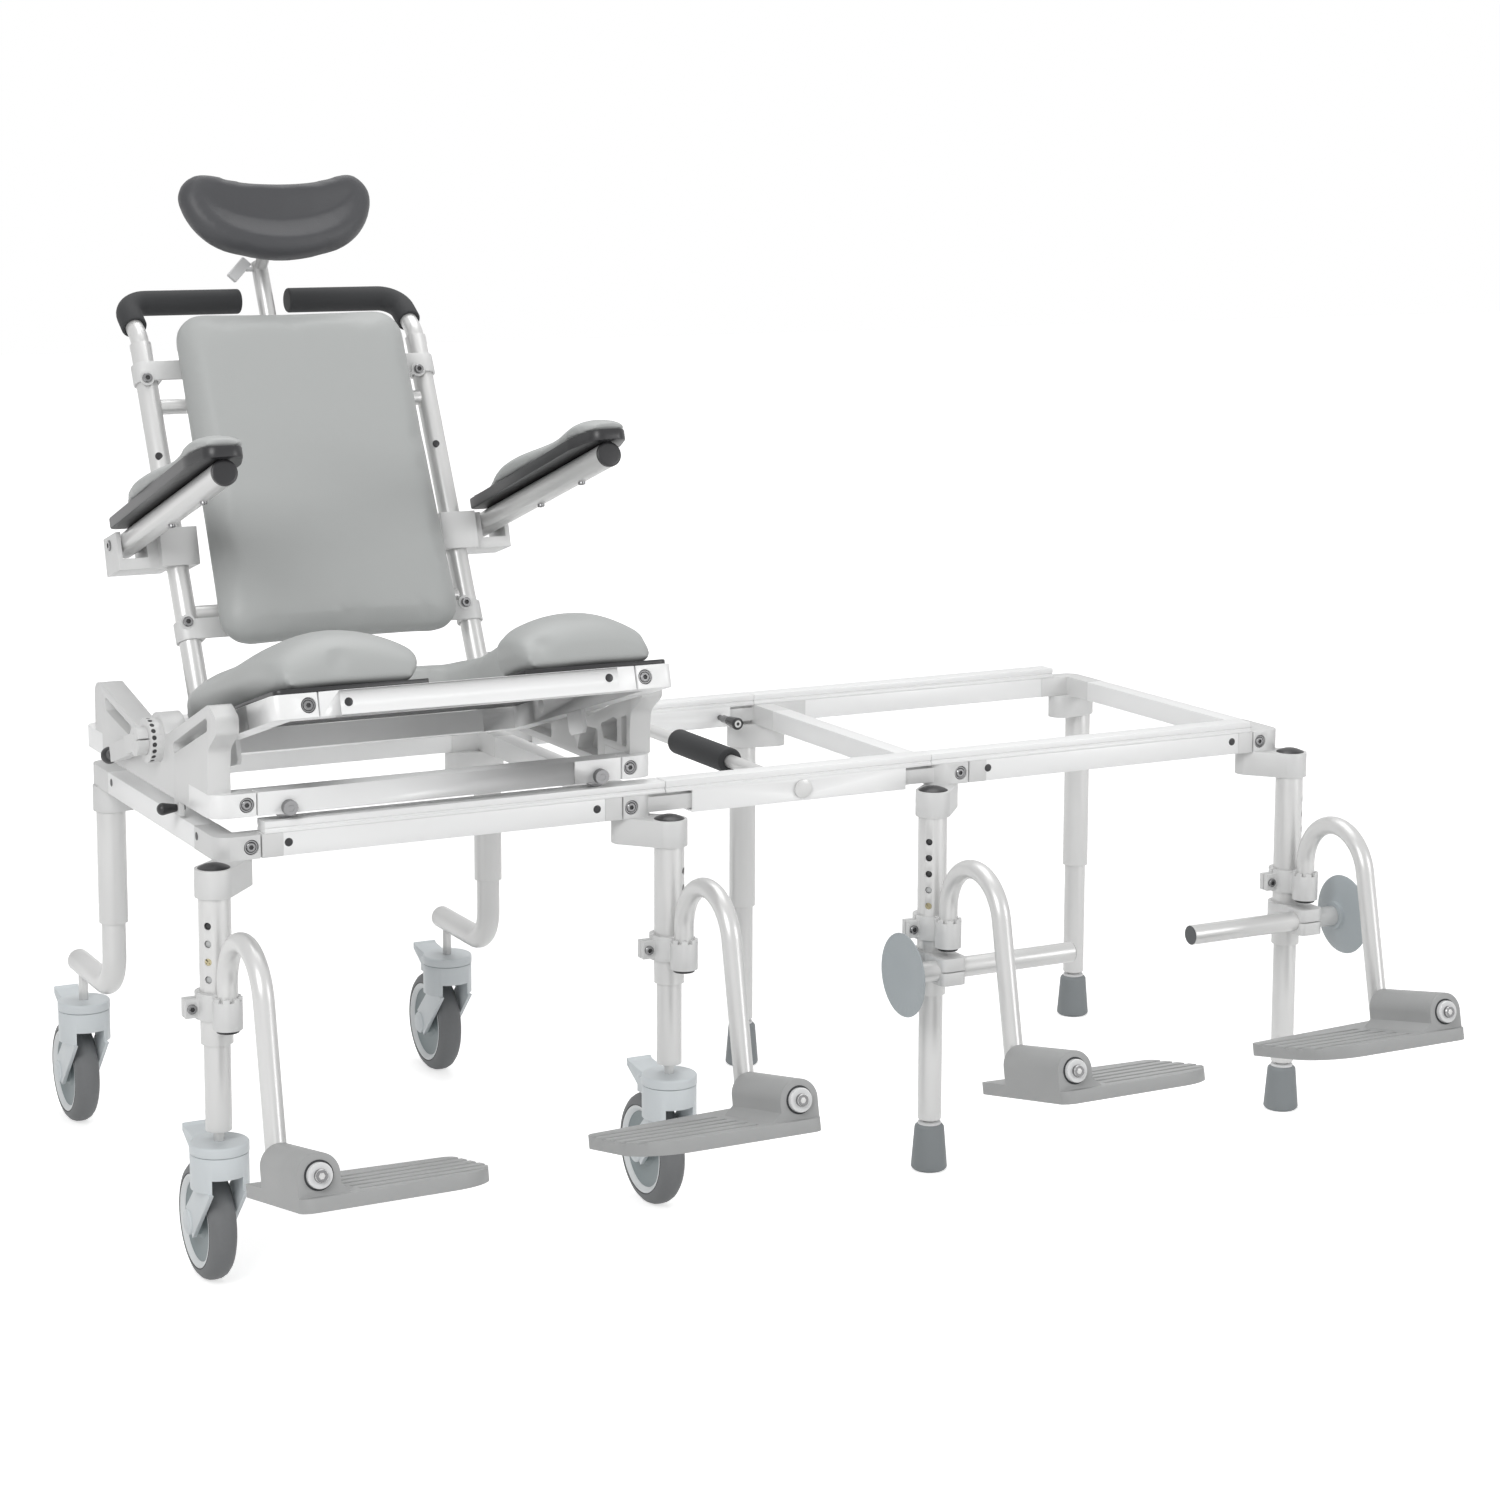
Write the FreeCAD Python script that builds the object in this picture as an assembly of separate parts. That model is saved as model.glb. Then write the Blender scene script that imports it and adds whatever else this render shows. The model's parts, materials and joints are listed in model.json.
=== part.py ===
import FreeCAD, Part
import math
import os

# A tilting shower commode chair on a wheeled base, with a bridge and a tub base that carry on
# its tracks, so that the seat rolls sideways from the room into the bath.
# Lengths are millimetres, angles degrees. +X runs from the wheeled base to the tub base, +Y to
# the back of the chair, +Z up. Places are written from the near left leg of the wheeled base.

V = FreeCAD.Vector

ORIGIN_X = 705.0            # middle of the whole set, from the near left leg
ORIGIN_Y = 192.55
FLOOR_Z = -9.5              # the floor, below the foot of the scale that places are written on
OVERRUN = 5.0               # how far a cutter reaches past the face it cuts
RUNNING = 0.05              # radial clearance of a shaft in its bore
SEAT_GAP = 0.3              # clearance of soft parts and of pieces that pass each other

# Frame section and decks
RAIL = 25.4                 # square tube of every frame
RAIL_WALL = 2.0
DECK_TOP = 472.0            # top of the base rails
TRACK_HEIGHT = 13.0
NEAR_FACE = 17.0            # front face of the near rails
FAR_FACE = 486.4            # back face of the far rails
CHAIR_LEFT = 9.0
CHAIR_LENGTH = 508.0
TUB_LENGTH = 507.0
BRIDGE_LENGTH = 345.0       # of the tracks between the two bases
TRACK_JOINT = 1.0           # gap where two tracks meet
TRACK_START = 53.0          # from the end of the wheeled base to its tracks
TRACK_LEAD = 13.0           # how far its tracks lead past its other end
TRACK_STOP = 48.0           # from the tracks to the far end of the tub base
BRIDGE_SOCKET_CHAIR = 33.0  # from the ends of the bridge's tracks to its rails
BRIDGE_SOCKET_TUB = 34.0
CHAIR_RIGHT = CHAIR_LEFT + CHAIR_LENGTH
CHAIR_TRACK = (CHAIR_LEFT + TRACK_START, CHAIR_RIGHT + TRACK_LEAD)
BRIDGE_START = CHAIR_TRACK[1] + TRACK_JOINT
BRIDGE_TRACK = (BRIDGE_START, BRIDGE_START + BRIDGE_LENGTH)
BRIDGE_RAIL = (BRIDGE_TRACK[0] + BRIDGE_SOCKET_CHAIR, BRIDGE_TRACK[1] - BRIDGE_SOCKET_TUB)
TUB_LEFT = BRIDGE_TRACK[1] + TRACK_JOINT
TUB_RIGHT = TUB_LEFT + TUB_LENGTH
TUB_TRACK = (TUB_LEFT, TUB_RIGHT - TRACK_STOP)
CHAIR_SLITS, CHAIR_ARMS = (48.0, 38.5), (73.0, 61.0)
TUB_SLITS, TUB_ARMS = (50.0, 43.0), (75.0, 66.0)
SIDE_ARM = 75.0             # arms of the castings along the end rails
CORNER_RADIUS = 18.0
SLIT_WIDTH = 2.0
SLIT_DEPTH = 15.0
CORNER_SCREW_RADIUS = 8.2
CORNER_SCREW_DEPTH = 3.0
CORNER_SCREW_INSET = 10.0   # from the slit to the screw
SPIGOT_LENGTH = 20.0
SPIGOT_PLAY = 0.3
DOCK_TONGUE_HEIGHT = 17.0
DOCK_TONGUE_DEPTH = 16.0
DOCK_TONGUE_REACH = 24.0    # how far a tongue reaches into the bridge rail
DOCK_TONGUE_SETBACK = 2.5
DOCK_HEAD_PLAY = 0.1        # clearance of a tongue's head inside the bridge rail
DOCK_HEAD_START = 4.0       # from the end of the bridge rail to the head

# Legs
LEG_RADIUS = 17.0
INNER_LEG_RADIUS = 14.0
INNER_LEG_WALL = 2.5
COLLAR_RADIUS = 20.5
COLLAR_HEIGHT = 30.0
BOSS_RADIUS = 17.0
FAR_LEG_Y_CHAIR = 463.0
FAR_LEG_Y_TUB = 480.0
# how far the legs stand out past the ends of their frame: left, right
NEAR_OUT_CHAIR, FAR_OUT_CHAIR = (9.0, 9.5), (-17.5, -13.5)
NEAR_OUT_TUB, FAR_OUT_TUB = (8.0, 0.5), (7.0, 6.0)
NEAR_LEGS_CHAIR = ((CHAIR_LEFT - NEAR_OUT_CHAIR[0], 0.0), (CHAIR_RIGHT + NEAR_OUT_CHAIR[1], 0.0))
FAR_LEGS_CHAIR = ((CHAIR_LEFT - FAR_OUT_CHAIR[0], FAR_LEG_Y_CHAIR),
                  (CHAIR_RIGHT + FAR_OUT_CHAIR[1], FAR_LEG_Y_CHAIR))
NEAR_LEGS_TUB = ((TUB_LEFT - NEAR_OUT_TUB[0], 0.0), (TUB_RIGHT + NEAR_OUT_TUB[1], 0.0))
FAR_LEGS_TUB = ((TUB_LEFT - FAR_OUT_TUB[0], FAR_LEG_Y_TUB), (TUB_RIGHT + FAR_OUT_TUB[1], FAR_LEG_Y_TUB))
BOSS_OFFSET_X = 36.0
BOSS_Y_NEAR = 36.0
BOSS_Y_FAR = 468.0
LEG_BOTTOM_CHAIR_NEAR = 260.0
LEG_BOTTOM_CHAIR_FAR = 282.0
LEG_BOTTOM_TUB = 204.0
INNER_TOP = 420.0
INNER_BOTTOM_NEAR = 166.0
HOLE_TOP = 388.0
HOLE_PITCH = 19.0
HOLE_COUNT = 5
HOLE_RADIUS = 4.0
CAP_RADIUS = 17.5
CAP_RISE = 5.0
TRAIL_LEG_Z = 199.0         # centre line of the trailing run of a rear leg
TRAIL_BEND = 42.0
TRAIL_REACH = 137.0         # from the rear leg back to its caster stem
TRAIL_OVERHANG = 9.0

# Rubber feet of the tub base
FOOT_TOP = 46.0
FOOT_TOP_RADIUS = 17.5
FOOT_BASE_RADIUS = 21.5
FOOT_BASE_ROUND = 3.0
FOOT_STEM_RADIUS = 8.0
FOOT_RING_HEIGHT = 10.0
FOOT_STEM_GAP = 6.0         # bare chrome between the foot and the tube end
FOOT_SOCKET_DEPTH = 30.0

# Casters
WHEEL_RADIUS = 64.0
WHEEL_WIDTH = 30.0
TYRE_DEPTH = 13.0
TYRE_ROUND = 11.0
RIM_DEPTH = 12.0
RIM_WIDTH = 26.0
HUB_RADIUS = 14.0
HUB_WIDTH = 33.0
DISC_DISH = 6.0
CASTER_TRAIL = 44.0
AXLE_RADIUS = 5.0
AXLE_HEAD_RADIUS = 9.0
AXLE_HEAD = 3.0
FORK_GAP = 34.0
FORK_WALL = 4.5
FORK_TOP = 142.3
FORK_CROWN = 23.0
FORK_LOW = 105.0            # bottom edge of the round housing
FORK_RADIUS = 31.0
FORK_SEAM_RADIUS = 28.0
FORK_BOSS_RADIUS = 13.0
STRAP_FRONT = (31.0, 41.0)  # corners of a cheek, back from the stem and up
STRAP_BACK = (52.0, 69.0)
STRAP_ROOT = (15.0, 104.0)
WHEEL_CLEARANCE = 3.5
CASTER_DISC_RADIUS = 31.5
CASTER_DISC_TOP = 154.0
CASTER_DISC_THICK = 10.7
STEM_RADIUS = 6.0
STEM_SINK = 12.0
PEDAL_PIVOT_Y = 36.0
PEDAL_PIVOT_Z = 131.0
PEDAL_WIDTH = 30.0
PEDAL_LENGTH = 44.0
PEDAL_THICK = 6.0
PEDAL_RISE = 19.0           # top of the pedal above its pin, at the tip
PEDAL_LIP = 2.5
PEDAL_ROOT = 15.0           # top of the pedal above its pin, at the housing
PEDAL_ARM_DROP = 11.0
PEDAL_PIN_RADIUS = 3.0
PEDAL_EYE_RADIUS = 6.5
PEDAL_EAR = 4.0
BRAKE_SIDE_PLAY = 0.5

# Footrests
SOCKET_Y = -37.0
SOCKET_RADIUS = 15.5
SOCKET_TOP_CHAIR = 318.0
SOCKET_HEIGHT = 34.0
FOOT_DROP = 16.0            # the tub footrests hang this much lower
HANGER_RADIUS = 11.0
HANGER_WALL = 2.0
HANGER_BEND = 58.0
HANGER_CROWN = 387.0        # centre line at the top of the hanger on the wheeled base
FOOT_TILT = 11.5
FOOT_PIVOT_Z = 183.0
HANGER_TAIL = 16.0          # tube below the pivot
NOTCH_COUNT = 8
NOTCH_WIDTH = 5.0
NOTCH_DEPTH = 4.0
SOCKET_PLUG_RADIUS = 12.0
SOCKET_PLUG_HEIGHT = 3.5
CLAMP_RADIUS = 22.5
CLAMP_WEB = 9.0
EAR_LENGTH = 13.0
EAR_HALF = 7.5
EAR_HEIGHT = 20.0
CLAMP_SPLIT = 1.6
CLAMP_BOLT_RADIUS = 3.0
BARREL_RADIUS = 22.0
BARREL_LENGTH = 112.0
PIVOT_RADIUS = 6.0
WASHER_RADIUS = 12.5
WASHER_THICK = 5.0
PIVOT_HEAD_RADIUS = 6.5
PIVOT_HEAD = 4.0
PLATE_TOP = -20.0           # plate faces, measured up from the pivot line
PLATE_THICK = 14.0
PLATE_REACH = 188.0
PLATE_FRONT = 135.0
PLATE_BACK = -38.0
PLATE_TIP_BACK = -8.0
PLATE_CORNER = 14.0
PLATE_TIP_ROUND = 55.0
GROOVE_COUNT = 5
GROOVE_WIDTH = 9.0
GROOVE_DEPTH = 2.2
GROOVE_START = 44.0

# Stabilisers of the tub base
STAB_RADIUS = 12.0
STAB_WALL = 2.0
STAB_Z = 241.5
STAB_INNER_REACH = 169.0    # from the leg to the inner end of the tube
STAB_OUTER_REACH = 44.0
STAB_PAD_RADIUS = 49.0
STAB_PAD_THICK = 4.0
STAB_PAD_DISH = 6.0
STAB_BOSS_RADIUS = 17.0
STAB_BOSS_LENGTH = 9.0
STAB_CAP = 2.0
STAB_BOSS_SHARE = 0.6       # straight part of the pad's boss
STAB_NECK_SHARE = 0.6       # where the cone of the pad meets its dish, in pad radii
STAB_DISH_SHARE = 0.55
JAW_HALF = 17.0
JAW_HEIGHT = 32.0
JAW_FRONT = -54.0
JAW_BOLT_RADIUS = 5.0

# Carriage
CARRIAGE_LEFT, CARRIAGE_RIGHT = 4.0, 516.0
CARRIAGE_Z = 492.0
ROLLER_RADIUS = 14.0
ROLLER_WIDTH = 10.0
ROLLER_AXLE_RADIUS = 4.0
ROLLER_HEAD_RADIUS = 8.0
ROLLER_HEAD = 8.0
ROLLER_X = (88.3, 449.0)
ROLLER_SIDE_PLAY = 1.0
CARRIAGE_SLITS = (49.0, 39.0)
CARRIAGE_ARMS = (109.6, 97.0)
BRACKET_THICK = 25.0
BRACKET_SKIN = 6.0
BRACKET_FRONT, BRACKET_WIDTH = -4.0, 444.0
BRACKET_HEIGHT = 96.6       # from the top of the carriage rail to the tip of the front wing
BRACKET_FOOT_FRONT = 10.0   # from the near face of the rails
BRACKET_FOOT = 75.0
WINDOW_ROUND = 5.0
POCKET_ROUND = 3.0
HUB_Y, HUB_Z = 199.0, 547.0
HUB_RADIUS_OUT = 30.0
SHAFT_RADIUS = 8.0
RING_RADIUS = 24.5
RING_WIDTH = 14.0
RING_HOLE_LINE = 10.5       # from the bracket to the line of lock holes
RING_HOLE_RADIUS = 2.6
RING_HOLE_COUNT = 20
RING_HOLE_DEPTH = 8.0

# Tilting seat, written in its own frame: v back along the seat, w up from the hub line
TILT = 16.0
SEAT_LEFT, SEAT_RIGHT = 35.0, 485.0
SEAT_FRONT, SEAT_BACK = -303.0, 107.7
SEAT_RAIL_BOTTOM = -16.8
SEAT_SLITS = (48.0, 43.0)
SEAT_ARMS = (72.0, 65.0)
SEAT_CORNER_RADIUS = 9.0
SEAT_SIDE_ARM = 83.0
CLAMP_HUB_RADIUS = 16.0
CLAMP_HUB_WIDTH = 12.0
SHAFT_COVER = 3.0
HOUSING_LENGTH = 104.0
HOUSING_WIDTH = 14.0
HOUSING_HEIGHT = 20.0
HOUSING_START = 26.0
PLUNGER_RADIUS = 4.0
PLUNGER_NOSE_RADIUS = 2.4
PLUNGER_BALL_RADIUS = 9.8
PLUNGER_NECK = 10.0
PLUNGER_NECK_RADIUS = 6.0
PLUNGER_TRAVEL = 8.0
LUG_FRONT, LUG_BACK = -110.0, -70.0
LUG_DROP = 26.0
LUG_WIDTH = 5.0

PAN_THICK = 5.0
PAN_INSET = 8.0
PAD_HEIGHT = 52.0
PAD_POST_GAP = 2.0          # from the back of the pad to the back posts
PAD_LIFT = 12.0             # the front lobes stand this much higher
PAD_LIFT_PLACE_SHARE = 0.2
PAD_LIFT_REACH_SHARE = 0.3
PAD_DRAW = 20.0             # unit of how far the ends of the lobes are drawn in
# place along a lobe, height and draw
LOBE_SHARES = ((0.0, 0.35, 0.7), (0.03, 0.72, 0.25), (0.14, 1.0, 0.0), (0.3, 1.0, 0.0),
               (0.55, 0.86, 0.0), (0.8, 0.74, 0.2), (1.0, 0.45, 1.1))
SADDLE_BACK = 4.0           # from the back of the pad
SADDLE_REACH = 60.0         # in front of the back end of the opening
SADDLE_INSET = 40.0         # from the sides of the pad
SADDLE_SHARES = (0.7, 0.66, 0.6, 0.66, 0.7)
PAN_SETBACK = 1.0
CROWN_SIDE_SHARE = 0.62     # height at which the side of a pad turns into its top
CROWN_BULGE_SHARE = 0.02
CROWN_INSET_SHARE = 0.06
OPENING_FRONT = 116.0
OPENING_WIDTH = 190.0
OPENING_BACK = 20.0         # back end of the commode opening
OPENING_MID = -95.0

POST_X = 172.0              # from the middle of the chair
POST_BASE_V = 95.0
POST_LEAN = 10.7            # from square to the seat
POST_RADIUS = 12.5
POST_SLEEVE_TOP = 478.0
UPPER_POST_RADIUS = 10.5
UPPER_POST_TOP = 486.0
HANDLE_V = 231.0
HANDLE_RISE = 52.0          # from the top of the upper posts to the line of the push grips
HANDLE_W = UPPER_POST_TOP + HANDLE_RISE
HANDLE_BEND = 26.0
GRIP_INNER_X = 35.0
GRIP_RADIUS = 15.0
GRIP_START_SHARE = 0.30
GRIP_END_ROUND_SHARE = 0.6
BACK_BARS_W = (150.0, 400.0)
BACK_BAR_RADIUS = 9.0
BACK_BAR_SINK = 2.0         # how deep a bar goes into a post
CUSHION_BOTTOM, CUSHION_TOP = 92.0, 505.0
CUSHION_WIDTH = 298.0
CUSHION_TAPER = 10.0
CUSHION_CORNER = 34.0
CUSHION_THICK = 42.0
CUSHION_DRAW = 20.0         # unit of how far the sides are drawn in
# place from the back face to the front one and draw
CUSHION_SHARES = ((0.0, 0.5), (0.22, 0.075), (0.5, 0.0), (0.8, 0.3), (1.0, 1.3))
ARC_MIDDLE_SHARE = 0.293    # from a corner to the middle of its round, in radii
CUSHION_STANDOFF = 15.0     # from the post line to the back of the cushion
CLIP_W = (128.0, 440.0)
CLIP_HEIGHT = 24.0
CLIP_THICK = 3.0
CLIP_RING_RADIUS = 16.0

HEAD_POST_RADIUS = 9.8
HEAD_POST_SETBACK = 27.0    # behind the line of the back posts
HEAD_POST_BOTTOM = 330.0
HEAD_POST_TOP = 585.0
RECEIVER_RADIUS = 15.0
RECEIVER_LENGTH = 85.0
RECEIVER_SEAT = 15.0        # from the line of the upper back bar to its foot
RECEIVER_BOTTOM = BACK_BARS_W[1] - RECEIVER_SEAT
RECEIVER_TOP = RECEIVER_BOTTOM + RECEIVER_LENGTH
HEAD_PAD_V, HEAD_PAD_W = 126.0, 635.0
HEAD_PAD_LEAN = 8.0
HEAD_PAD_THICK = 40.0
HEAD_HALF_WIDTH = 120.0
# place from the back face to the front one and size of the outline
HEAD_PAD_SHARES = ((0.0, 0.86), (0.2, 0.97), (0.5, 1.0), (0.8, 0.95), (1.0, 0.8))
NECK_RADIUS = 8.0
NECK_BALL_RADIUS = 13.0
NECK_SINK = 7.0             # how deep the ball sits in the pad
NECK_DROP = 23.0
LEVER_LENGTH = 26.0
LEVER_WIDTH = 14.0
LEVER_THICK = 6.0
LEVER_DROP = 8.0
LEVER_SINK = 7.0
LEVER_LEAN = 45.0

ARM_X = 221.0               # from the middle of the chair
ARM_RADIUS = 14.0
ARM_WALL = 2.0
ARM_PIVOT_V, ARM_PIVOT_W = 155.0, 239.0
ARM_FRONT_V, ARM_FRONT_W = -217.0, 253.0
ARM_TAIL = 12.0
ARM_PIN_RADIUS = 5.0
ARM_PIN_OVERHANG = 4.0
ARM_CAP = 3.0
MOUNT_HALF = 22.0
MOUNT_CHEEK = 6.0
MOUNT_BOTTOM, MOUNT_TOP = 206.0, 250.0
MOUNT_FRONT, MOUNT_REAR = 128.0, 178.0
ARM_SIDE_PLAY = 0.6
TRAY_LENGTH = 366.0
TRAY_THICK = 13.0
TRAY_FRONT_HALF = 31.0
TRAY_BACK_HALF = 26.0
TRAY_TIP_HALF = 19.0
TRAY_CORNER = 10.0
TRAY_TIP_CORNER = 16.0
TRAY_OVERHANG = 14.0
ARM_PAD_THICK = 18.0
# station along the tray, half width and height of the arm pad
ARM_PAD_SHARES = ((0.003, 0.5, 0.4), (0.038, 0.82, 0.75), (0.123, 0.97, 1.0), (0.437, 0.88, 0.9),
                  (0.787, 0.84, 0.8), (0.995, 0.75, 0.5))

# Bridge handle and latches
HANDLE_INSET = 141.0        # from the chair end of the bridge rails to the handle
HANDLE_X = BRIDGE_RAIL[0] + HANDLE_INSET
HANDLE_Z = 460.5
HANDLE_BAR_RADIUS = 8.0
HANDLE_DISC_RADIUS = 11.0
HANDLE_DISC = 3.0
FOAM_RADIUS = 15.5
FOAM_RUN = (195.0, 337.0)
LATCH_INSET = 15.0          # latch pin from the end of the bridge rail
LATCH_PIN_RADIUS = 3.5
LATCH_SHANK_RADIUS = 5.0
LATCH_SHANK = 24.0
LATCH_TRAVEL = 10.0
LATCH_KNOB_RADIUS = 8.0
LATCH_KNOB = 26.0
LATCH_ROOT_SHARE = 0.7      # thin end of a knob

LOCK_KNOB_Y = 135.0
LOCK_KNOB_Z = 483.5
LOCK_KNOB_RADIUS = 8.0
LOCK_KNOB_LENGTH = 22.0
LOCK_PIN_RADIUS = 3.0
LOCK_PIN_LENGTH = 9.0
LOCK_KNOB_ROUND_SHARE = 0.8

CHAIR_MIDDLE = (CARRIAGE_LEFT + CARRIAGE_RIGHT) / 2
RAIL_BOTTOM = DECK_TOP - RAIL


def box(x0, x1, y0, y1, z0, z1):
    """A box between two corners, given in any order."""
    low = V(min(x0, x1), min(y0, y1), min(z0, z1))
    return Part.makeBox(abs(x1 - x0), abs(y1 - y0), abs(z1 - z0), low)


def rod(start, end, radius):
    """A round bar between two points."""
    along = end.sub(start)
    return Part.makeCylinder(radius, along.Length, start, along)


def pipe(start, end, radius, wall):
    """A round tube between two points."""
    along = end.sub(start)
    over = V(along).normalize().multiply(OVERRUN)
    return rod(start, end, radius).cut(rod(start.sub(over), end.add(over), radius - wall))


def fuse(shapes):
    """One solid from shapes that share volume."""
    joined = shapes[0].multiFuse(shapes[1:]) if len(shapes) > 1 else shapes[0]
    return joined.removeSplitter()


def cut(shape, tools):
    """The shape less every tool."""
    for tool in tools:
        shape = shape.cut(tool)
    return shape


def face_of(points):
    """A flat face with straight sides."""
    return Part.Face(Part.makePolygon(list(points) + [points[0]]))


def rounded_face(points, radii):
    """A flat face of straight runs, with a tangent arc of the given radius at each point."""
    ends, edges, count = [], [], len(points)
    for i, radius in enumerate(radii):
        here = points[i]
        back = points[i - 1].sub(here).normalize()
        forth = points[(i + 1) % count].sub(here).normalize()
        half = math.acos(max(-1.0, min(1.0, back.dot(forth)))) / 2
        reach = radius / math.tan(half)
        if reach < RUNNING:
            ends.append((here, None, here))
            continue
        bisector = V(back).add(forth).normalize()
        ends.append((here.add(V(back).multiply(reach)),
                     here.add(bisector.multiply(radius / math.sin(half) - radius)),
                     here.add(V(forth).multiply(reach))))
    for i, (first, middle, last) in enumerate(ends):
        if middle:
            edges.append(Part.Arc(first, middle, last).toShape())
        edges.append(Part.LineSegment(last, ends[(i + 1) % count][0]).toShape())
    return Part.Face(Part.Wire(edges))


def prism_x(points_yz, x0, x1, radii=None):
    """A prism along X from an outline given as (y, z) points."""
    points = [V(x0, y, z) for y, z in points_yz]
    face = rounded_face(points, radii) if radii else face_of(points)
    return face.extrude(V(x1 - x0, 0, 0))


def prism_z(points_xy, z0, z1, radii=None):
    """A prism along Z from an outline given as (x, y) points."""
    points = [V(x, y, z0) for x, y in points_xy]
    face = rounded_face(points, radii) if radii else face_of(points)
    return face.extrude(V(0, 0, z1 - z0))


def bent_path(points, radii):
    """Straight runs joined by tangent arcs, one radius for each inner point."""
    edges, start = [], points[0]
    for i, radius in enumerate(radii):
        here, ahead = points[i + 1], points[i + 2]
        back = points[i].sub(here).normalize()
        forth = ahead.sub(here).normalize()
        half = math.acos(max(-1.0, min(1.0, back.dot(forth)))) / 2
        reach = radius / math.tan(half)
        first = here.add(V(back).multiply(reach))
        last = here.add(V(forth).multiply(reach))
        bisector = V(back).add(forth).normalize()
        middle = here.add(bisector.multiply(radius / math.sin(half) - radius))
        if first.distanceToPoint(start) > RUNNING:
            edges.append(Part.LineSegment(start, first).toShape())
        edges.append(Part.Arc(first, middle, last).toShape())
        start = last
    edges.append(Part.LineSegment(start, points[-1]).toShape())
    return Part.Wire(edges)


def swept_rod(points, radii, radius):
    """A round bar along a bent path."""
    path = bent_path(points, radii)
    along = points[1].sub(points[0])
    ring = Part.Wire(Part.makeCircle(radius, points[0], along))
    return path.makePipeShell([ring], True, False)


def swept_pipe(points, radii, radius, wall):
    """A round tube along a bent path."""
    return swept_rod(points, radii, radius).cut(swept_rod(points, radii, radius - wall))


def seat_place(shape):
    """Turns a shape from the seat's own frame, v along Y and w along Z, to where the seat stands."""
    shape = shape.copy()
    shape.rotate(V(0, 0, 0), V(1, 0, 0), -TILT)
    shape.translate(V(0, HUB_Y, HUB_Z))
    return shape


def post_v(w):
    """Where the line of the back posts stands at a height above the hub line."""
    return POST_BASE_V + (w - SEAT_RAIL_BOTTOM - RAIL) * math.tan(math.radians(POST_LEAN))


NODES = {}


def node(name, solids):
    """Puts solids under a node's name."""
    NODES.setdefault(name, []).extend(solids)


# Frames of square tube and cast corners

def square_tube(x0, x1, y0, y1, z0, along):
    """A length of rail, hollow along X or Y."""
    outer = box(x0, x1, y0, y1, z0, z0 + RAIL)
    w, o = RAIL_WALL, OVERRUN
    if along == "x":
        return outer.cut(box(x0 - o, x1 + o, y0 + w, y1 - w, z0 + w, z0 + RAIL - w))
    return outer.cut(box(x0 + w, x1 - w, y0 - o, y1 + o, z0 + w, z0 + RAIL - w))


def corner_casting(corner, inward, slit, arm, side_arm, z0, radius, side_rails):
    """A cast corner: a rounded block with a clamp slit, two arms and a spigot into each rail."""
    (cx, cy), (sx, sy) = corner, inward
    end_x, end_y = cx + sx * arm, cy + sy * side_arm
    inner_x, inner_y = cx + sx * RAIL, cy + sy * RAIL
    play = RAIL_WALL + SPIGOT_PLAY
    z1 = z0 + RAIL
    body = box(cx, end_x, cy, inner_y, z0, z1).fuse(box(cx, inner_x, cy, end_y, z0, z1))
    edges = [e for e in body.removeSplitter().Edges
             if abs(e.BoundBox.XMin - cx) + abs(e.BoundBox.XMax - cx) < RUNNING
             and abs(e.BoundBox.YMin - cy) + abs(e.BoundBox.YMax - cy) < RUNNING]
    body = body.removeSplitter().makeFillet(radius, edges)
    slit_x = cx + sx * slit
    body = cut(body, [
        box(slit_x, slit_x + sx * SLIT_WIDTH, cy - sy * OVERRUN, cy + sy * SLIT_DEPTH,
            z0 - OVERRUN, z1 + OVERRUN),
        rod(V(slit_x - sx * CORNER_SCREW_INSET, cy - sy * OVERRUN, z0 + RAIL / 2),
            V(slit_x - sx * CORNER_SCREW_INSET, cy + sy * CORNER_SCREW_DEPTH, z0 + RAIL / 2),
            CORNER_SCREW_RADIUS)])
    spigot_x = box(end_x, end_x + sx * SPIGOT_LENGTH, cy + sy * play, inner_y - sy * play,
                   z0 + play, z1 - play)
    spigot_y = box(cx + sx * play, inner_x - sx * play, end_y, end_y + sy * SPIGOT_LENGTH,
                   z0 + play, z1 - play)
    return fuse([body, spigot_x, spigot_y] if side_rails else [body, spigot_x])


def square_frame(x0, x1, y0, y1, z0, slits, arms, side_arm, radius, side_rails=True):
    """Four rails and four cast corners. Gives the rails and the corners apart."""
    rails = [square_tube(x0 + arms[0], x1 - arms[1], y0, y0 + RAIL, z0, "x"),
             square_tube(x0 + arms[0], x1 - arms[1], y1 - RAIL, y1, z0, "x")]
    if side_rails:
        rails += [square_tube(x0, x0 + RAIL, y0 + side_arm, y1 - side_arm, z0, "y"),
                  square_tube(x1 - RAIL, x1, y0 + side_arm, y1 - side_arm, z0, "y")]
    corners = [corner_casting((cx, cy), (sx, sy), slits[i], arms[i], side_arm, z0, radius, side_rails)
               for i, (cx, sx) in enumerate(((x0, 1), (x1, -1)))
               for cy, sy in ((y0, 1), (y1, -1))]
    return rails, corners


def track(x0, x1, front):
    """A track strip on top of a rail: a low extrusion with a groove along each side."""
    top, lip, groove = DECK_TOP + TRACK_HEIGHT, TRACK_HEIGHT / 4, RAIL / 14
    back = front + RAIL
    outline = [(front, DECK_TOP), (front, DECK_TOP + lip), (front + groove, DECK_TOP + lip * 1.5),
               (front, DECK_TOP + 2 * lip), (front, top), (back, top), (back, DECK_TOP + 2 * lip),
               (back - groove, DECK_TOP + lip * 1.5), (back, DECK_TOP + lip), (back, DECK_TOP)]
    return prism_x(outline, x0, x1)


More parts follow.
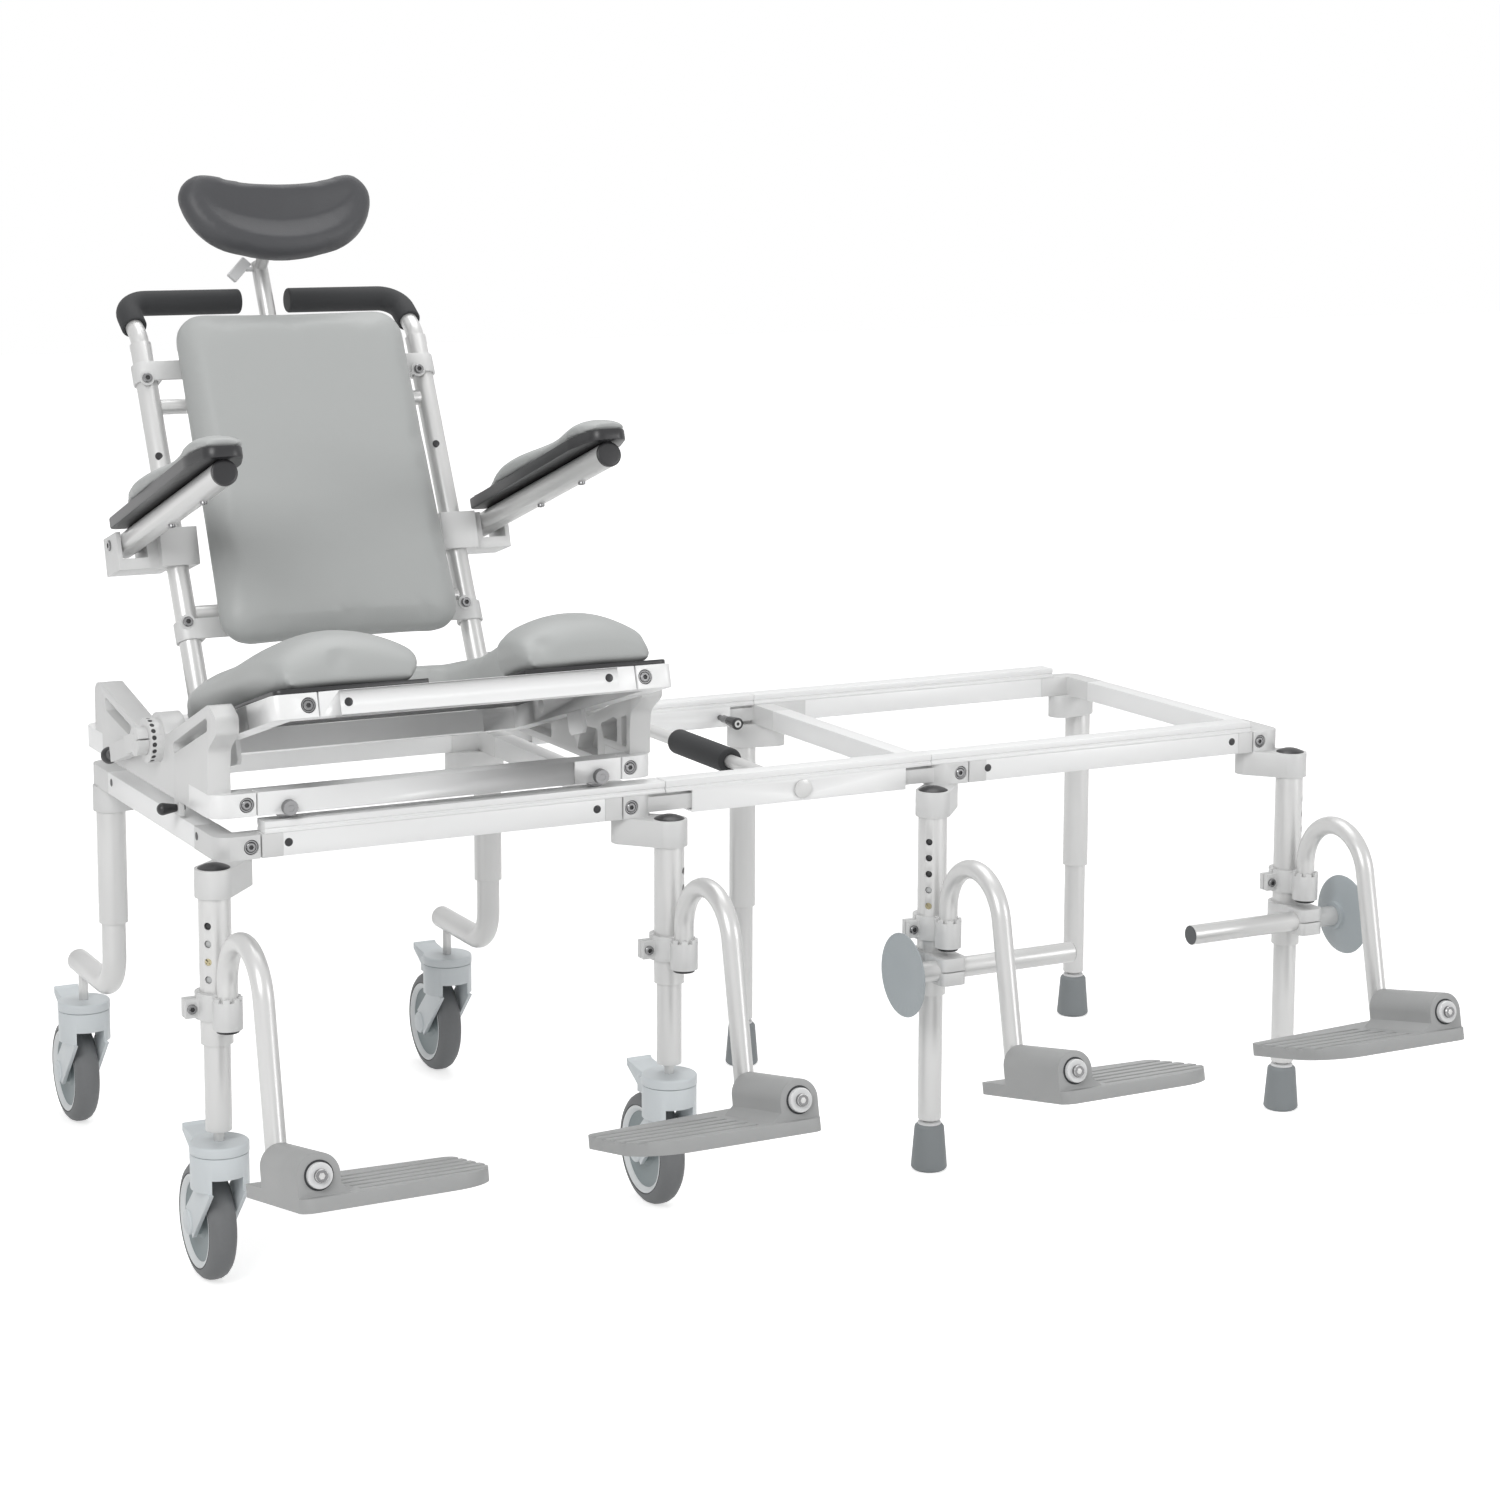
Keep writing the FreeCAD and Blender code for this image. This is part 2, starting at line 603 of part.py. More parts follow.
def tracks(run):
    """The near and the far strip of one track run."""
    return [track(run[0], run[1], NEAR_FACE), track(run[0], run[1], FAR_FACE - RAIL)]


def dock_tongues(root, outward):
    """Two tongues that reach from the near and far corners into the bridge rails."""
    end = BRIDGE_RAIL[0] if outward > 0 else BRIDGE_RAIL[1]
    tip = end + outward * DOCK_TONGUE_REACH
    pin_x = end + outward * LATCH_INSET
    middle_z = RAIL_BOTTOM + RAIL / 2
    low = middle_z - DOCK_TONGUE_HEIGHT / 2
    inset = RAIL_WALL + DOCK_TONGUE_SETBACK
    head_half = RAIL / 2 - RAIL_WALL - DOCK_HEAD_PLAY
    tongues = []
    for face, way in ((NEAR_FACE, 1), (FAR_FACE, -1)):
        middle_y = face + way * RAIL / 2
        y0 = face + way * inset
        neck = box(root - outward * RAIL / 2, tip, y0, y0 + way * DOCK_TONGUE_DEPTH, low,
                   low + DOCK_TONGUE_HEIGHT)
        head = box(end + outward * DOCK_HEAD_START, tip, middle_y - head_half, middle_y + head_half,
                   middle_z - head_half, middle_z + head_half)
        bore = rod(V(pin_x, middle_y - RAIL, middle_z), V(pin_x, middle_y + RAIL, middle_z),
                   LATCH_PIN_RADIUS + RUNNING)
        tongues.append(fuse([neck, head]).cut(bore))
    return tongues


def with_tongues(corners, tongues):
    """Joins each tongue to the cast corner that it grows from."""
    joined = []
    for corner in corners:
        grown = [t for t in tongues if corner.distToShape(t)[0] < RUNNING]
        joined.append(fuse([corner] + grown) if grown else corner)
    return joined


def leg_arm(leg, boss):
    """The cast arm under a corner: a collar round the leg and a boss bolted under the block."""
    (x0, y0), (x1, y1) = leg, boss
    z0, z1 = RAIL_BOTTOM - COLLAR_HEIGHT, RAIL_BOTTOM
    run = math.hypot(x1 - x0, y1 - y0)
    nx, ny = -(y1 - y0) / run, (x1 - x0) / run
    web = prism_z([(x0 + nx * COLLAR_RADIUS, y0 + ny * COLLAR_RADIUS),
                   (x1 + nx * BOSS_RADIUS, y1 + ny * BOSS_RADIUS),
                   (x1 - nx * BOSS_RADIUS, y1 - ny * BOSS_RADIUS),
                   (x0 - nx * COLLAR_RADIUS, y0 - ny * COLLAR_RADIUS)], z0, z1)
    body = fuse([rod(V(x0, y0, z0), V(x0, y0, z1), COLLAR_RADIUS),
                 rod(V(x1, y1, z0), V(x1, y1, z1), BOSS_RADIUS), web])
    return body.cut(rod(V(x0, y0, z0 - OVERRUN), V(x0, y0, z1 + OVERRUN), LEG_RADIUS))


def leg_tube(leg, bottom, face_x, near):
    """An outer leg tube with its row of height holes."""
    x, y = leg
    tube = pipe(V(x, y, bottom), V(x, y, RAIL_BOTTOM), LEG_RADIUS,
                LEG_RADIUS - INNER_LEG_RADIUS - RUNNING)
    side = V(face_x, -1, 0).normalize().multiply(LEG_RADIUS + OVERRUN)
    if near:
        for i in range(HOLE_COUNT):
            start = V(x, y, HOLE_TOP - i * HOLE_PITCH)
            tube = tube.cut(rod(start, start.add(side), HOLE_RADIUS))
    return tube


def leg_cap(leg):
    """A low domed cap that closes the top of a near leg."""
    x, y = leg
    sphere_radius = (CAP_RADIUS ** 2 + CAP_RISE ** 2) / (2 * CAP_RISE)
    arc = Part.Arc(V(x + CAP_RADIUS, y, RAIL_BOTTOM),
                   V(x + CAP_RADIUS / 2, y, RAIL_BOTTOM + CAP_RISE - sphere_radius
                     + math.sqrt(sphere_radius ** 2 - CAP_RADIUS ** 2 / 4)),
                   V(x, y, RAIL_BOTTOM + CAP_RISE)).toShape()
    face = Part.Face(Part.Wire([
        arc, Part.LineSegment(V(x, y, RAIL_BOTTOM + CAP_RISE), V(x, y, RAIL_BOTTOM)).toShape(),
        Part.LineSegment(V(x, y, RAIL_BOTTOM), V(x + CAP_RADIUS, y, RAIL_BOTTOM)).toShape()]))
    return face.revolve(V(x, y, 0), V(0, 0, 1), 360)


def bosses(near_legs, far_legs):
    """Pairs each leg with the boss of its arm under the frame corner."""
    pairs = []
    for (x, y), turn in zip(near_legs, (1, -1)):
        pairs.append(((x, y), (x + turn * BOSS_OFFSET_X, BOSS_Y_NEAR)))
    for (x, y), turn in zip(far_legs, (1, -1)):
        pairs.append(((x, y), (x + turn * BOSS_OFFSET_X, BOSS_Y_FAR)))
    return pairs


# Wheeled base

def chair_base():
    rails, corners = square_frame(CHAIR_LEFT, CHAIR_RIGHT, NEAR_FACE, FAR_FACE, RAIL_BOTTOM,
                                  CHAIR_SLITS, CHAIR_ARMS, SIDE_ARM, CORNER_RADIUS)
    corners = with_tongues(corners, dock_tongues(CHAIR_RIGHT, 1))
    node("chair_rails", rails + tracks(CHAIR_TRACK))
    node("chair_corner_castings",
         corners + [leg_arm(*pair) for pair in bosses(NEAR_LEGS_CHAIR, FAR_LEGS_CHAIR)])
    node("chair_leg_tubes",
         [leg_tube(leg, LEG_BOTTOM_CHAIR_NEAR, side, True)
          for leg, side in zip(NEAR_LEGS_CHAIR, (-1, 1))]
         + [leg_tube(leg, LEG_BOTTOM_CHAIR_FAR, 1, False) for leg in FAR_LEGS_CHAIR])
    node("chair_leg_caps", [leg_cap(leg) for leg in NEAR_LEGS_CHAIR]
         + [socket_plug(x, SOCKET_TOP_CHAIR) for x, _ in NEAR_LEGS_CHAIR])
    node("chair_footrest_clamps", [footrest_clamp(leg, SOCKET_TOP_CHAIR)
                                   for leg in NEAR_LEGS_CHAIR])


def caster_stem(x, y, top):
    """The hexagonal stem between a leg and its caster."""
    points = [(x + STEM_RADIUS * math.cos(math.radians(60 * i)),
               y + STEM_RADIUS * math.sin(math.radians(60 * i))) for i in range(6)]
    return prism_z(points, CASTER_DISC_TOP, top)


def chair_inner_legs():
    solids = []
    for x, y in NEAR_LEGS_CHAIR:
        tube = pipe(V(x, y, INNER_BOTTOM_NEAR), V(x, y, INNER_TOP), INNER_LEG_RADIUS, INNER_LEG_WALL)
        plug_top = INNER_BOTTOM_NEAR + STEM_SINK
        plug = rod(V(x, y, INNER_BOTTOM_NEAR), V(x, y, plug_top), INNER_LEG_RADIUS - INNER_LEG_WALL)
        solids += [tube, plug, caster_stem(x, y, INNER_BOTTOM_NEAR)]
    for x, y in FAR_LEGS_CHAIR:
        corner = V(x, y, TRAIL_LEG_Z)
        end = V(x, y + TRAIL_REACH + INNER_LEG_RADIUS + TRAIL_OVERHANG - OVERRUN, TRAIL_LEG_Z)
        tube = swept_pipe([V(x, y, INNER_TOP), corner, end], [TRAIL_BEND],
                          INNER_LEG_RADIUS, INNER_LEG_WALL)
        plug = rod(end.sub(V(0, INNER_LEG_RADIUS, 0)), end, INNER_LEG_RADIUS - INNER_LEG_WALL)
        stem_y = y + TRAIL_REACH
        stem = caster_stem(x, stem_y, TRAIL_LEG_Z).cut(
            rod(V(x, stem_y - 2 * STEM_RADIUS, TRAIL_LEG_Z), V(x, stem_y + 2 * STEM_RADIUS, TRAIL_LEG_Z),
                INNER_LEG_RADIUS))
        solids += [tube, plug, stem]
    node("chair_inner_legs", solids)


# Casters

def caster_places():
    """Name and swivel axis of each caster."""
    near = [(x, y) for x, y in NEAR_LEGS_CHAIR]
    far = [(x, y + TRAIL_REACH) for x, y in FAR_LEGS_CHAIR]
    return dict(zip(("front_left", "front_right", "rear_left", "rear_right"), near + far))


def revolved_x(outline_xr, x, y, z):
    """A body of revolution about X from (x, radius) points."""
    face = face_of([V(x + a, y, z + r) for a, r in outline_xr])
    return face.revolve(V(x, y, z), V(1, 0, 0), 360)


def caster_wheel(x, y):
    """Tyre, rim and two hub covers, on one axle line."""
    ay, az = y + CASTER_TRAIL, FLOOR_Z + WHEEL_RADIUS
    tread = rod(V(x - WHEEL_WIDTH / 2, ay, az), V(x + WHEEL_WIDTH / 2, ay, az), WHEEL_RADIUS)
    tread = tread.makeFillet(TYRE_ROUND, [e for e in tread.Edges if e.Closed])
    rim_radius = WHEEL_RADIUS - TYRE_DEPTH
    rim_half = RIM_WIDTH / 2
    tyre = tread.cut(rod(V(x - WHEEL_WIDTH, ay, az), V(x + WHEEL_WIDTH, ay, az), rim_radius))
    inner = rim_radius - RIM_DEPTH
    rim = revolved_x([(-rim_half, rim_radius), (rim_half, rim_radius), (rim_half, inner),
                      (DISC_DISH / 2, inner - DISC_DISH), (DISC_DISH / 2, HUB_RADIUS),
                      (HUB_WIDTH / 2, HUB_RADIUS), (HUB_WIDTH / 2, AXLE_RADIUS + RUNNING),
                      (-HUB_WIDTH / 2, AXLE_RADIUS + RUNNING), (-HUB_WIDTH / 2, HUB_RADIUS),
                      (-DISC_DISH / 2, HUB_RADIUS), (-DISC_DISH / 2, inner - DISC_DISH),
                      (-rim_half, inner)], x, ay, az)
    return [tyre, rim]


def caster_fork(x, y):
    """Round housing with two swept cheeks, the axle bolt through them and the disc on top."""
    ay, az = y + CASTER_TRAIL, FLOOR_Z + WHEEL_RADIUS
    half = FORK_GAP / 2 + FORK_WALL
    barrel = rod(V(x, y, FORK_LOW), V(x, y, FORK_TOP), FORK_RADIUS)
    straps = prism_x([(y - FORK_RADIUS, FORK_TOP), (y - FORK_RADIUS, FORK_LOW),
                      (y + STRAP_FRONT[0], STRAP_FRONT[1]), (y + STRAP_BACK[0], STRAP_BACK[1]),
                      (y + STRAP_ROOT[0], STRAP_ROOT[1]), (y + STRAP_ROOT[0], FORK_TOP)],
                     x - half, x + half)
    straps = straps.common(fuse([barrel, box(x - half, x + half, y - FORK_RADIUS, ay + WHEEL_RADIUS,
                                             FLOOR_Z, FORK_LOW)]))
    eyes = rod(V(x - half, ay, az), V(x + half, ay, az), FORK_BOSS_RADIUS)
    gap = FORK_GAP / 2
    wheel_room = rod(V(x - gap, ay, az), V(x + gap, ay, az), WHEEL_RADIUS + WHEEL_CLEARANCE)
    window = box(x - gap, x + gap, y - 2 * FORK_RADIUS, y + 2 * WHEEL_RADIUS, FLOOR_Z,
                 FORK_TOP - FORK_CROWN)
    body = fuse([barrel, straps, eyes]).cut(wheel_room).cut(window)
    axle = rod(V(x - half - AXLE_HEAD, ay, az), V(x + half + AXLE_HEAD, ay, az), AXLE_RADIUS)
    heads = [rod(V(x + s * half, ay, az), V(x + s * (half + AXLE_HEAD), ay, az), AXLE_HEAD_RADIUS)
             for s in (-1, 1)]
    disc = rod(V(x, y, CASTER_DISC_TOP - CASTER_DISC_THICK), V(x, y, CASTER_DISC_TOP),
               CASTER_DISC_RADIUS)
    disc = disc.makeFillet(CASTER_DISC_THICK / 4, [e for e in disc.Edges if e.Closed
                                                   and e.BoundBox.ZMin > CASTER_DISC_TOP - RUNNING])
    body = body_with_ears(body, x, y).cut(axle)
    return [body, disc_with_seam(disc, x, y), fuse([axle] + heads)]


def body_with_ears(body, x, y):
    """Adds the two ears and the pin that carry the brake pedal."""
    inner = PEDAL_WIDTH / 2 + BRAKE_SIDE_PLAY
    py, pz = y + PEDAL_PIVOT_Y, PEDAL_PIVOT_Z
    ears = []
    for s in (-1, 1):
        ears.append(box(x + s * inner, x + s * (inner + PEDAL_EAR), y, py + PEDAL_EYE_RADIUS,
                        pz - PEDAL_EYE_RADIUS, FORK_TOP))
    room = box(x - inner, x + inner, py - PEDAL_EYE_RADIUS - BRAKE_SIDE_PLAY,
               py + 2 * PEDAL_EYE_RADIUS, 0, FORK_TOP + OVERRUN)
    pin = rod(V(x - inner - PEDAL_EAR, py, pz), V(x + inner + PEDAL_EAR, py, pz), PEDAL_PIN_RADIUS)
    return fuse([fuse([body] + ears).cut(room), pin])


def disc_with_seam(disc, x, y):
    """The top disc stands on the housing, with a thin seam ring between them."""
    low = CASTER_DISC_TOP - CASTER_DISC_THICK
    return fuse([disc, rod(V(x, y, FORK_TOP), V(x, y, low), FORK_SEAM_RADIUS)])


def brake_pedal(x, y):
    """A paddle on a cross pin at the back of the housing, with a wedge under it and a raised lip."""
    py, pz = y + PEDAL_PIVOT_Y, PEDAL_PIVOT_Z
    half = PEDAL_WIDTH / 2
    tip, top = py + PEDAL_LENGTH, pz + PEDAL_RISE
    paddle = prism_x([(py, pz - PEDAL_ARM_DROP), (tip, top - PEDAL_THICK), (tip, top + PEDAL_LIP),
                      (tip - PEDAL_LIP, top + PEDAL_LIP), (tip - 2 * PEDAL_LIP, top),
                      (py, pz + PEDAL_ROOT)], x - half, x + half)
    eye = rod(V(x - half, py, pz), V(x + half, py, pz), PEDAL_EYE_RADIUS)
    return fuse([paddle, eye]).cut(rod(V(x - PEDAL_WIDTH, py, pz), V(x + PEDAL_WIDTH, py, pz),
                                       PEDAL_PIN_RADIUS + RUNNING))


def casters():
    for name, (x, y) in caster_places().items():
        node("caster_fork_" + name, caster_fork(x, y))
        node("caster_wheel_" + name, caster_wheel(x, y))
        node("brake_pedal_" + name, [brake_pedal(x, y)])


# Footrests

def footrest_clamp(leg, top):
    """A cast clamp on a leg: split ring with ears, web and a notched socket for the hanger."""
    x, y = leg
    low = top - SOCKET_HEIGHT
    ring = rod(V(x, y, low + NOTCH_DEPTH), V(x, y, top - NOTCH_DEPTH / 2), CLAMP_RADIUS)
    ear_low = (low + top - EAR_HEIGHT) / 2
    ear = box(x - CLAMP_RADIUS - EAR_LENGTH, x, y - EAR_HALF, y + EAR_HALF, ear_low,
              ear_low + EAR_HEIGHT)
    web = box(x - CLAMP_WEB, x + CLAMP_WEB, SOCKET_Y, y, low + NOTCH_DEPTH, top - NOTCH_DEPTH)
    socket = rod(V(x, SOCKET_Y, low), V(x, SOCKET_Y, top), SOCKET_RADIUS)
    body = fuse([ring, ear, web, socket])
    tools = [rod(V(x, y, 0), V(x, y, top + OVERRUN), LEG_RADIUS),
             rod(V(x, SOCKET_Y, 0), V(x, SOCKET_Y, top + OVERRUN), HANGER_RADIUS + RUNNING),
             box(x - CLAMP_RADIUS - EAR_LENGTH - OVERRUN, x, y - CLAMP_SPLIT / 2, y + CLAMP_SPLIT / 2,
                 low - OVERRUN, top + OVERRUN),
             rod(V(x - CLAMP_RADIUS - EAR_LENGTH / 2, y - CLAMP_RADIUS, (low + top) / 2),
                 V(x - CLAMP_RADIUS - EAR_LENGTH / 2, y + CLAMP_RADIUS, (low + top) / 2),
                 CLAMP_BOLT_RADIUS)]
    for i in range(NOTCH_COUNT // 2):
        notch = box(x - 2 * SOCKET_RADIUS, x + 2 * SOCKET_RADIUS, SOCKET_Y - NOTCH_WIDTH / 2,
                    SOCKET_Y + NOTCH_WIDTH / 2, top - NOTCH_DEPTH, top + OVERRUN)
        notch.rotate(V(x, SOCKET_Y, 0), V(0, 0, 1), 180 * i / (NOTCH_COUNT // 2))
        reach = rod(V(x, SOCKET_Y, top - NOTCH_DEPTH), V(x, SOCKET_Y, top + OVERRUN), SOCKET_RADIUS)
        tools.append(notch.common(reach))
    return cut(body, tools)


def socket_plug(x, top):
    """The plastic plug that closes the bottom of a hanger socket."""
    low = top - SOCKET_HEIGHT
    return rod(V(x, SOCKET_Y, low - SOCKET_PLUG_HEIGHT), V(x, SOCKET_Y, low), SOCKET_PLUG_RADIUS)


def foot_point(x, along, up, drop):
    """A point given from the footplate pivot: along the pivot line to the front, and up from it."""
    a = math.radians(FOOT_TILT)
    slant = math.tan(a)
    crown = HANGER_CROWN - drop
    bend_y = SOCKET_Y - HANGER_BEND * (1 + math.cos(a))
    bend_z = crown - HANGER_BEND * (1 - math.sin(a))
    pivot_z = FOOT_PIVOT_Z - drop
    pivot_y = bend_y - (bend_z - pivot_z) * slant
    return V(x, pivot_y - along * math.cos(a) - up * math.sin(a) * -1,
             pivot_z + along * math.sin(a) + up * math.cos(a))


def hanger(x, top, drop):
    """A hooked tube that turns in its socket, with the footplate pivot at its lower end."""
    a = math.radians(FOOT_TILT)
    foot = top - SOCKET_HEIGHT
    crown = HANGER_CROWN - drop
    centre_y = SOCKET_Y - HANGER_BEND
    centre_z = crown - HANGER_BEND
    rise = V(x, SOCKET_Y, foot)
    first = V(x, SOCKET_Y, centre_z)
    over = V(x, centre_y, crown)
    last = V(x, centre_y - HANGER_BEND * math.cos(a), centre_z + HANGER_BEND * math.sin(a))
    tail = foot_point(x, 0, -HANGER_TAIL, drop)
    path = Part.Wire([Part.LineSegment(rise, first).toShape(), Part.Arc(first, over, last).toShape(),
                      Part.LineSegment(last, tail).toShape()])
    tubes = [path.makePipeShell([Part.Wire(Part.makeCircle(r, rise, V(0, 0, 1)))], True, False)
             for r in (HANGER_RADIUS, HANGER_RADIUS - HANGER_WALL)]
    pin = rod(foot_point(x, 0, 0, drop),
              foot_point(x, HANGER_RADIUS + BARREL_LENGTH + 2 * SEAT_GAP, 0, drop), PIVOT_RADIUS)
    front = HANGER_RADIUS + BARREL_LENGTH + 2 * SEAT_GAP
    washer = rod(foot_point(x, front, 0, drop), foot_point(x, front + WASHER_THICK, 0, drop),
                 WASHER_RADIUS)
    head = rod(foot_point(x, front + WASHER_THICK, 0, drop),
               foot_point(x, front + WASHER_THICK + PIVOT_HEAD, 0, drop), PIVOT_HEAD_RADIUS)
    return [fuse([tubes[0].cut(tubes[1]), pin, washer, head])]


def footplate(x, side, drop):
    """One moulding: hinge barrel, its solid root and a grooved plate that tapers to the tip."""
    top, low = PLATE_TOP, PLATE_TOP - PLATE_THICK
    start = HANGER_RADIUS + SEAT_GAP
    barrel = rod(V(0, start, 0), V(0, start + BARREL_LENGTH, 0), BARREL_RADIUS)
    root = box(-BARREL_RADIUS, BARREL_RADIUS, start, start + BARREL_LENGTH, low, 0)
    fillet = prism_y([(BARREL_RADIUS, -BARREL_RADIUS / 2), (BARREL_RADIUS * 1.5, top), (0, top), (0, 0)],
                     start, start + BARREL_LENGTH)
    plate = prism_z([(-BARREL_RADIUS, PLATE_BACK), (PLATE_REACH, PLATE_TIP_BACK),
                     (PLATE_REACH, PLATE_FRONT), (-BARREL_RADIUS, PLATE_FRONT)], low, top,
                    [0.0, PLATE_CORNER, PLATE_TIP_ROUND, PLATE_CORNER])
    body = fuse([barrel, root, fillet, plate])
    pitch = (PLATE_FRONT - PLATE_TIP_BACK) / (GROOVE_COUNT + 1)
    tools = [rod(V(0, start - OVERRUN, 0), V(0, start + BARREL_LENGTH + OVERRUN, 0),
                 PIVOT_RADIUS + RUNNING)]
    for i in range(GROOVE_COUNT):
        middle = PLATE_TIP_BACK + pitch * (i + 1)
        tools.append(box(GROOVE_START, PLATE_REACH + OVERRUN, middle - GROOVE_WIDTH / 2,
                         middle + GROOVE_WIDTH / 2, top - GROOVE_DEPTH, top + OVERRUN))
    body = cut(body, tools)
    body = body.mirror(V(0, 0, 0), V(0, 1, 0))
    if side < 0:
        body = body.mirror(V(0, 0, 0), V(1, 0, 0))
    body.rotate(V(0, 0, 0), V(1, 0, 0), -FOOT_TILT)
    body.translate(foot_point(x, 0, 0, drop))
    return body


def prism_y(points_xz, y0, y1):
    """A prism along Y from an outline given as (x, z) points."""
    face = face_of([V(x, y0, z) for x, z in points_xz])
    return face.extrude(V(0, y1 - y0, 0))


def footrests():
    places = ((NEAR_LEGS_CHAIR, "chair", 0.0), (NEAR_LEGS_TUB, "tub", FOOT_DROP))
    for legs, base, drop in places:
        for (x, _), side, name in zip(legs, (1, -1), ("left", "right")):
            node("hanger_%s_%s" % (base, name), hanger(x, SOCKET_TOP_CHAIR - drop, drop))
            node("footplate_%s_%s" % (base, name), [footplate(x, side, drop)])


# Tub base

def stabiliser_clamp(leg):
    """A cast clamp on a tub leg: a ring, and a split jaw that holds the cross tube."""
    x, y = leg
    z0, z1 = STAB_Z - JAW_HEIGHT / 2, STAB_Z + JAW_HEIGHT / 2
    ring = rod(V(x, y, z0), V(x, y, z1), CLAMP_RADIUS)
    jaw = box(x - JAW_HALF, x + JAW_HALF, JAW_FRONT, y, z0, z1)
    front = [e for e in jaw.Edges if e.BoundBox.YMax < JAW_FRONT + RUNNING
             and e.BoundBox.ZMax - e.BoundBox.ZMin > RAIL_WALL]
    jaw = jaw.makeFillet(JAW_HALF / 2, front)
    body = fuse([ring, jaw])
    return cut(body, [
        rod(V(x, y, 0), V(x, y, z1 + OVERRUN), LEG_RADIUS),
        rod(V(x - 2 * JAW_HALF, SOCKET_Y, STAB_Z), V(x + 2 * JAW_HALF, SOCKET_Y, STAB_Z),
            STAB_RADIUS + RUNNING),
        box(x - 2 * JAW_HALF, x + 2 * JAW_HALF, JAW_FRONT - OVERRUN, SOCKET_Y,
            STAB_Z - CLAMP_SPLIT / 2, STAB_Z + CLAMP_SPLIT / 2)])


def stabiliser(leg, out, name):
    """A cross tube with a plug at its inner end and a round wall pad at its outer end."""
    x = leg[0]
    inner = V(x - out * STAB_INNER_REACH, SOCKET_Y, STAB_Z)
    outer = V(x + out * STAB_OUTER_REACH, SOCKET_Y, STAB_Z)
    tube = pipe(inner, outer, STAB_RADIUS, STAB_WALL)
    plug = rod(V(inner.x - out * STAB_CAP, SOCKET_Y, STAB_Z), inner, STAB_RADIUS)
    edge = STAB_BOSS_LENGTH + STAB_PAD_DISH
    pad = revolved_x([(out * a, r) for a, r in (
        (0.0, 0.0), (0.0, STAB_BOSS_RADIUS), (STAB_BOSS_LENGTH * STAB_BOSS_SHARE, STAB_BOSS_RADIUS),
        (STAB_BOSS_LENGTH, STAB_PAD_RADIUS * STAB_NECK_SHARE), (edge, STAB_PAD_RADIUS),
        (edge + STAB_PAD_THICK / 2, STAB_PAD_RADIUS),
        (STAB_BOSS_LENGTH + STAB_PAD_THICK, STAB_PAD_RADIUS * STAB_DISH_SHARE),
        (STAB_BOSS_LENGTH, 0.0))],
        outer.x, SOCKET_Y, STAB_Z)
    node(name, [tube, plug, pad])


def rubber_foot(x, y):
    """A tapered rubber tip, hollow for its stem."""
    outline = [V(x + FOOT_STEM_RADIUS, y, FOOT_TOP - FOOT_SOCKET_DEPTH),
               V(x + FOOT_STEM_RADIUS, y, FOOT_TOP),
               V(x + FOOT_TOP_RADIUS - FOOT_BASE_ROUND, y, FOOT_TOP),
               V(x + FOOT_TOP_RADIUS, y, FOOT_TOP - FOOT_BASE_ROUND),
               V(x + FOOT_BASE_RADIUS, y, FLOOR_Z + FOOT_BASE_ROUND),
               V(x + FOOT_BASE_RADIUS - FOOT_BASE_ROUND, y, FLOOR_Z),
               V(x, y, FLOOR_Z), V(x, y, FOOT_TOP - FOOT_SOCKET_DEPTH)]
    return face_of(outline).revolve(V(x, y, 0), V(0, 0, 1), 360)


def tub_base():
    rails, corners = square_frame(TUB_LEFT, TUB_RIGHT, NEAR_FACE, FAR_FACE, RAIL_BOTTOM,
                                  TUB_SLITS, TUB_ARMS, SIDE_ARM, CORNER_RADIUS)
    corners = with_tongues(corners, dock_tongues(TUB_LEFT, -1))
    legs = NEAR_LEGS_TUB + FAR_LEGS_TUB
    node("tub_rails", rails + tracks(TUB_TRACK))
    node("tub_corner_castings",
         corners + [leg_arm(*pair) for pair in bosses(NEAR_LEGS_TUB, FAR_LEGS_TUB)])
    node("tub_leg_tubes", [leg_tube(leg, LEG_BOTTOM_TUB, side, near) for leg, side, near in
                           zip(legs, (-1, 1, -1, 1), (True, True, False, False))])
    top = SOCKET_TOP_CHAIR - FOOT_DROP
    node("tub_leg_caps", [leg_cap(leg) for leg in NEAR_LEGS_TUB]
         + [socket_plug(x, top) for x, _ in NEAR_LEGS_TUB])
    node("tub_leg_clamps", [footrest_clamp(leg, top) for leg in NEAR_LEGS_TUB]
         + [stabiliser_clamp(leg) for leg in NEAR_LEGS_TUB])
    inner, feet = [], []
    low = FOOT_TOP + FOOT_STEM_GAP
    for x, y in legs:
        tube = pipe(V(x, y, low + FOOT_RING_HEIGHT), V(x, y, INNER_TOP), INNER_LEG_RADIUS,
                    INNER_LEG_WALL)
        ring = rod(V(x, y, low), V(x, y, low + FOOT_RING_HEIGHT), INNER_LEG_RADIUS)
        stem = rod(V(x, y, FOOT_TOP - FOOT_SOCKET_DEPTH), V(x, y, low), FOOT_STEM_RADIUS)
        inner += [tube, fuse([ring, stem])]
        feet.append(rubber_foot(x, y))
    node("tub_inner_legs", inner)
    node("tub_feet", feet)
    stabiliser(NEAR_LEGS_TUB[0], -1, "stabiliser_left")
    stabiliser(NEAR_LEGS_TUB[1], 1, "stabiliser_right")


# Bridge

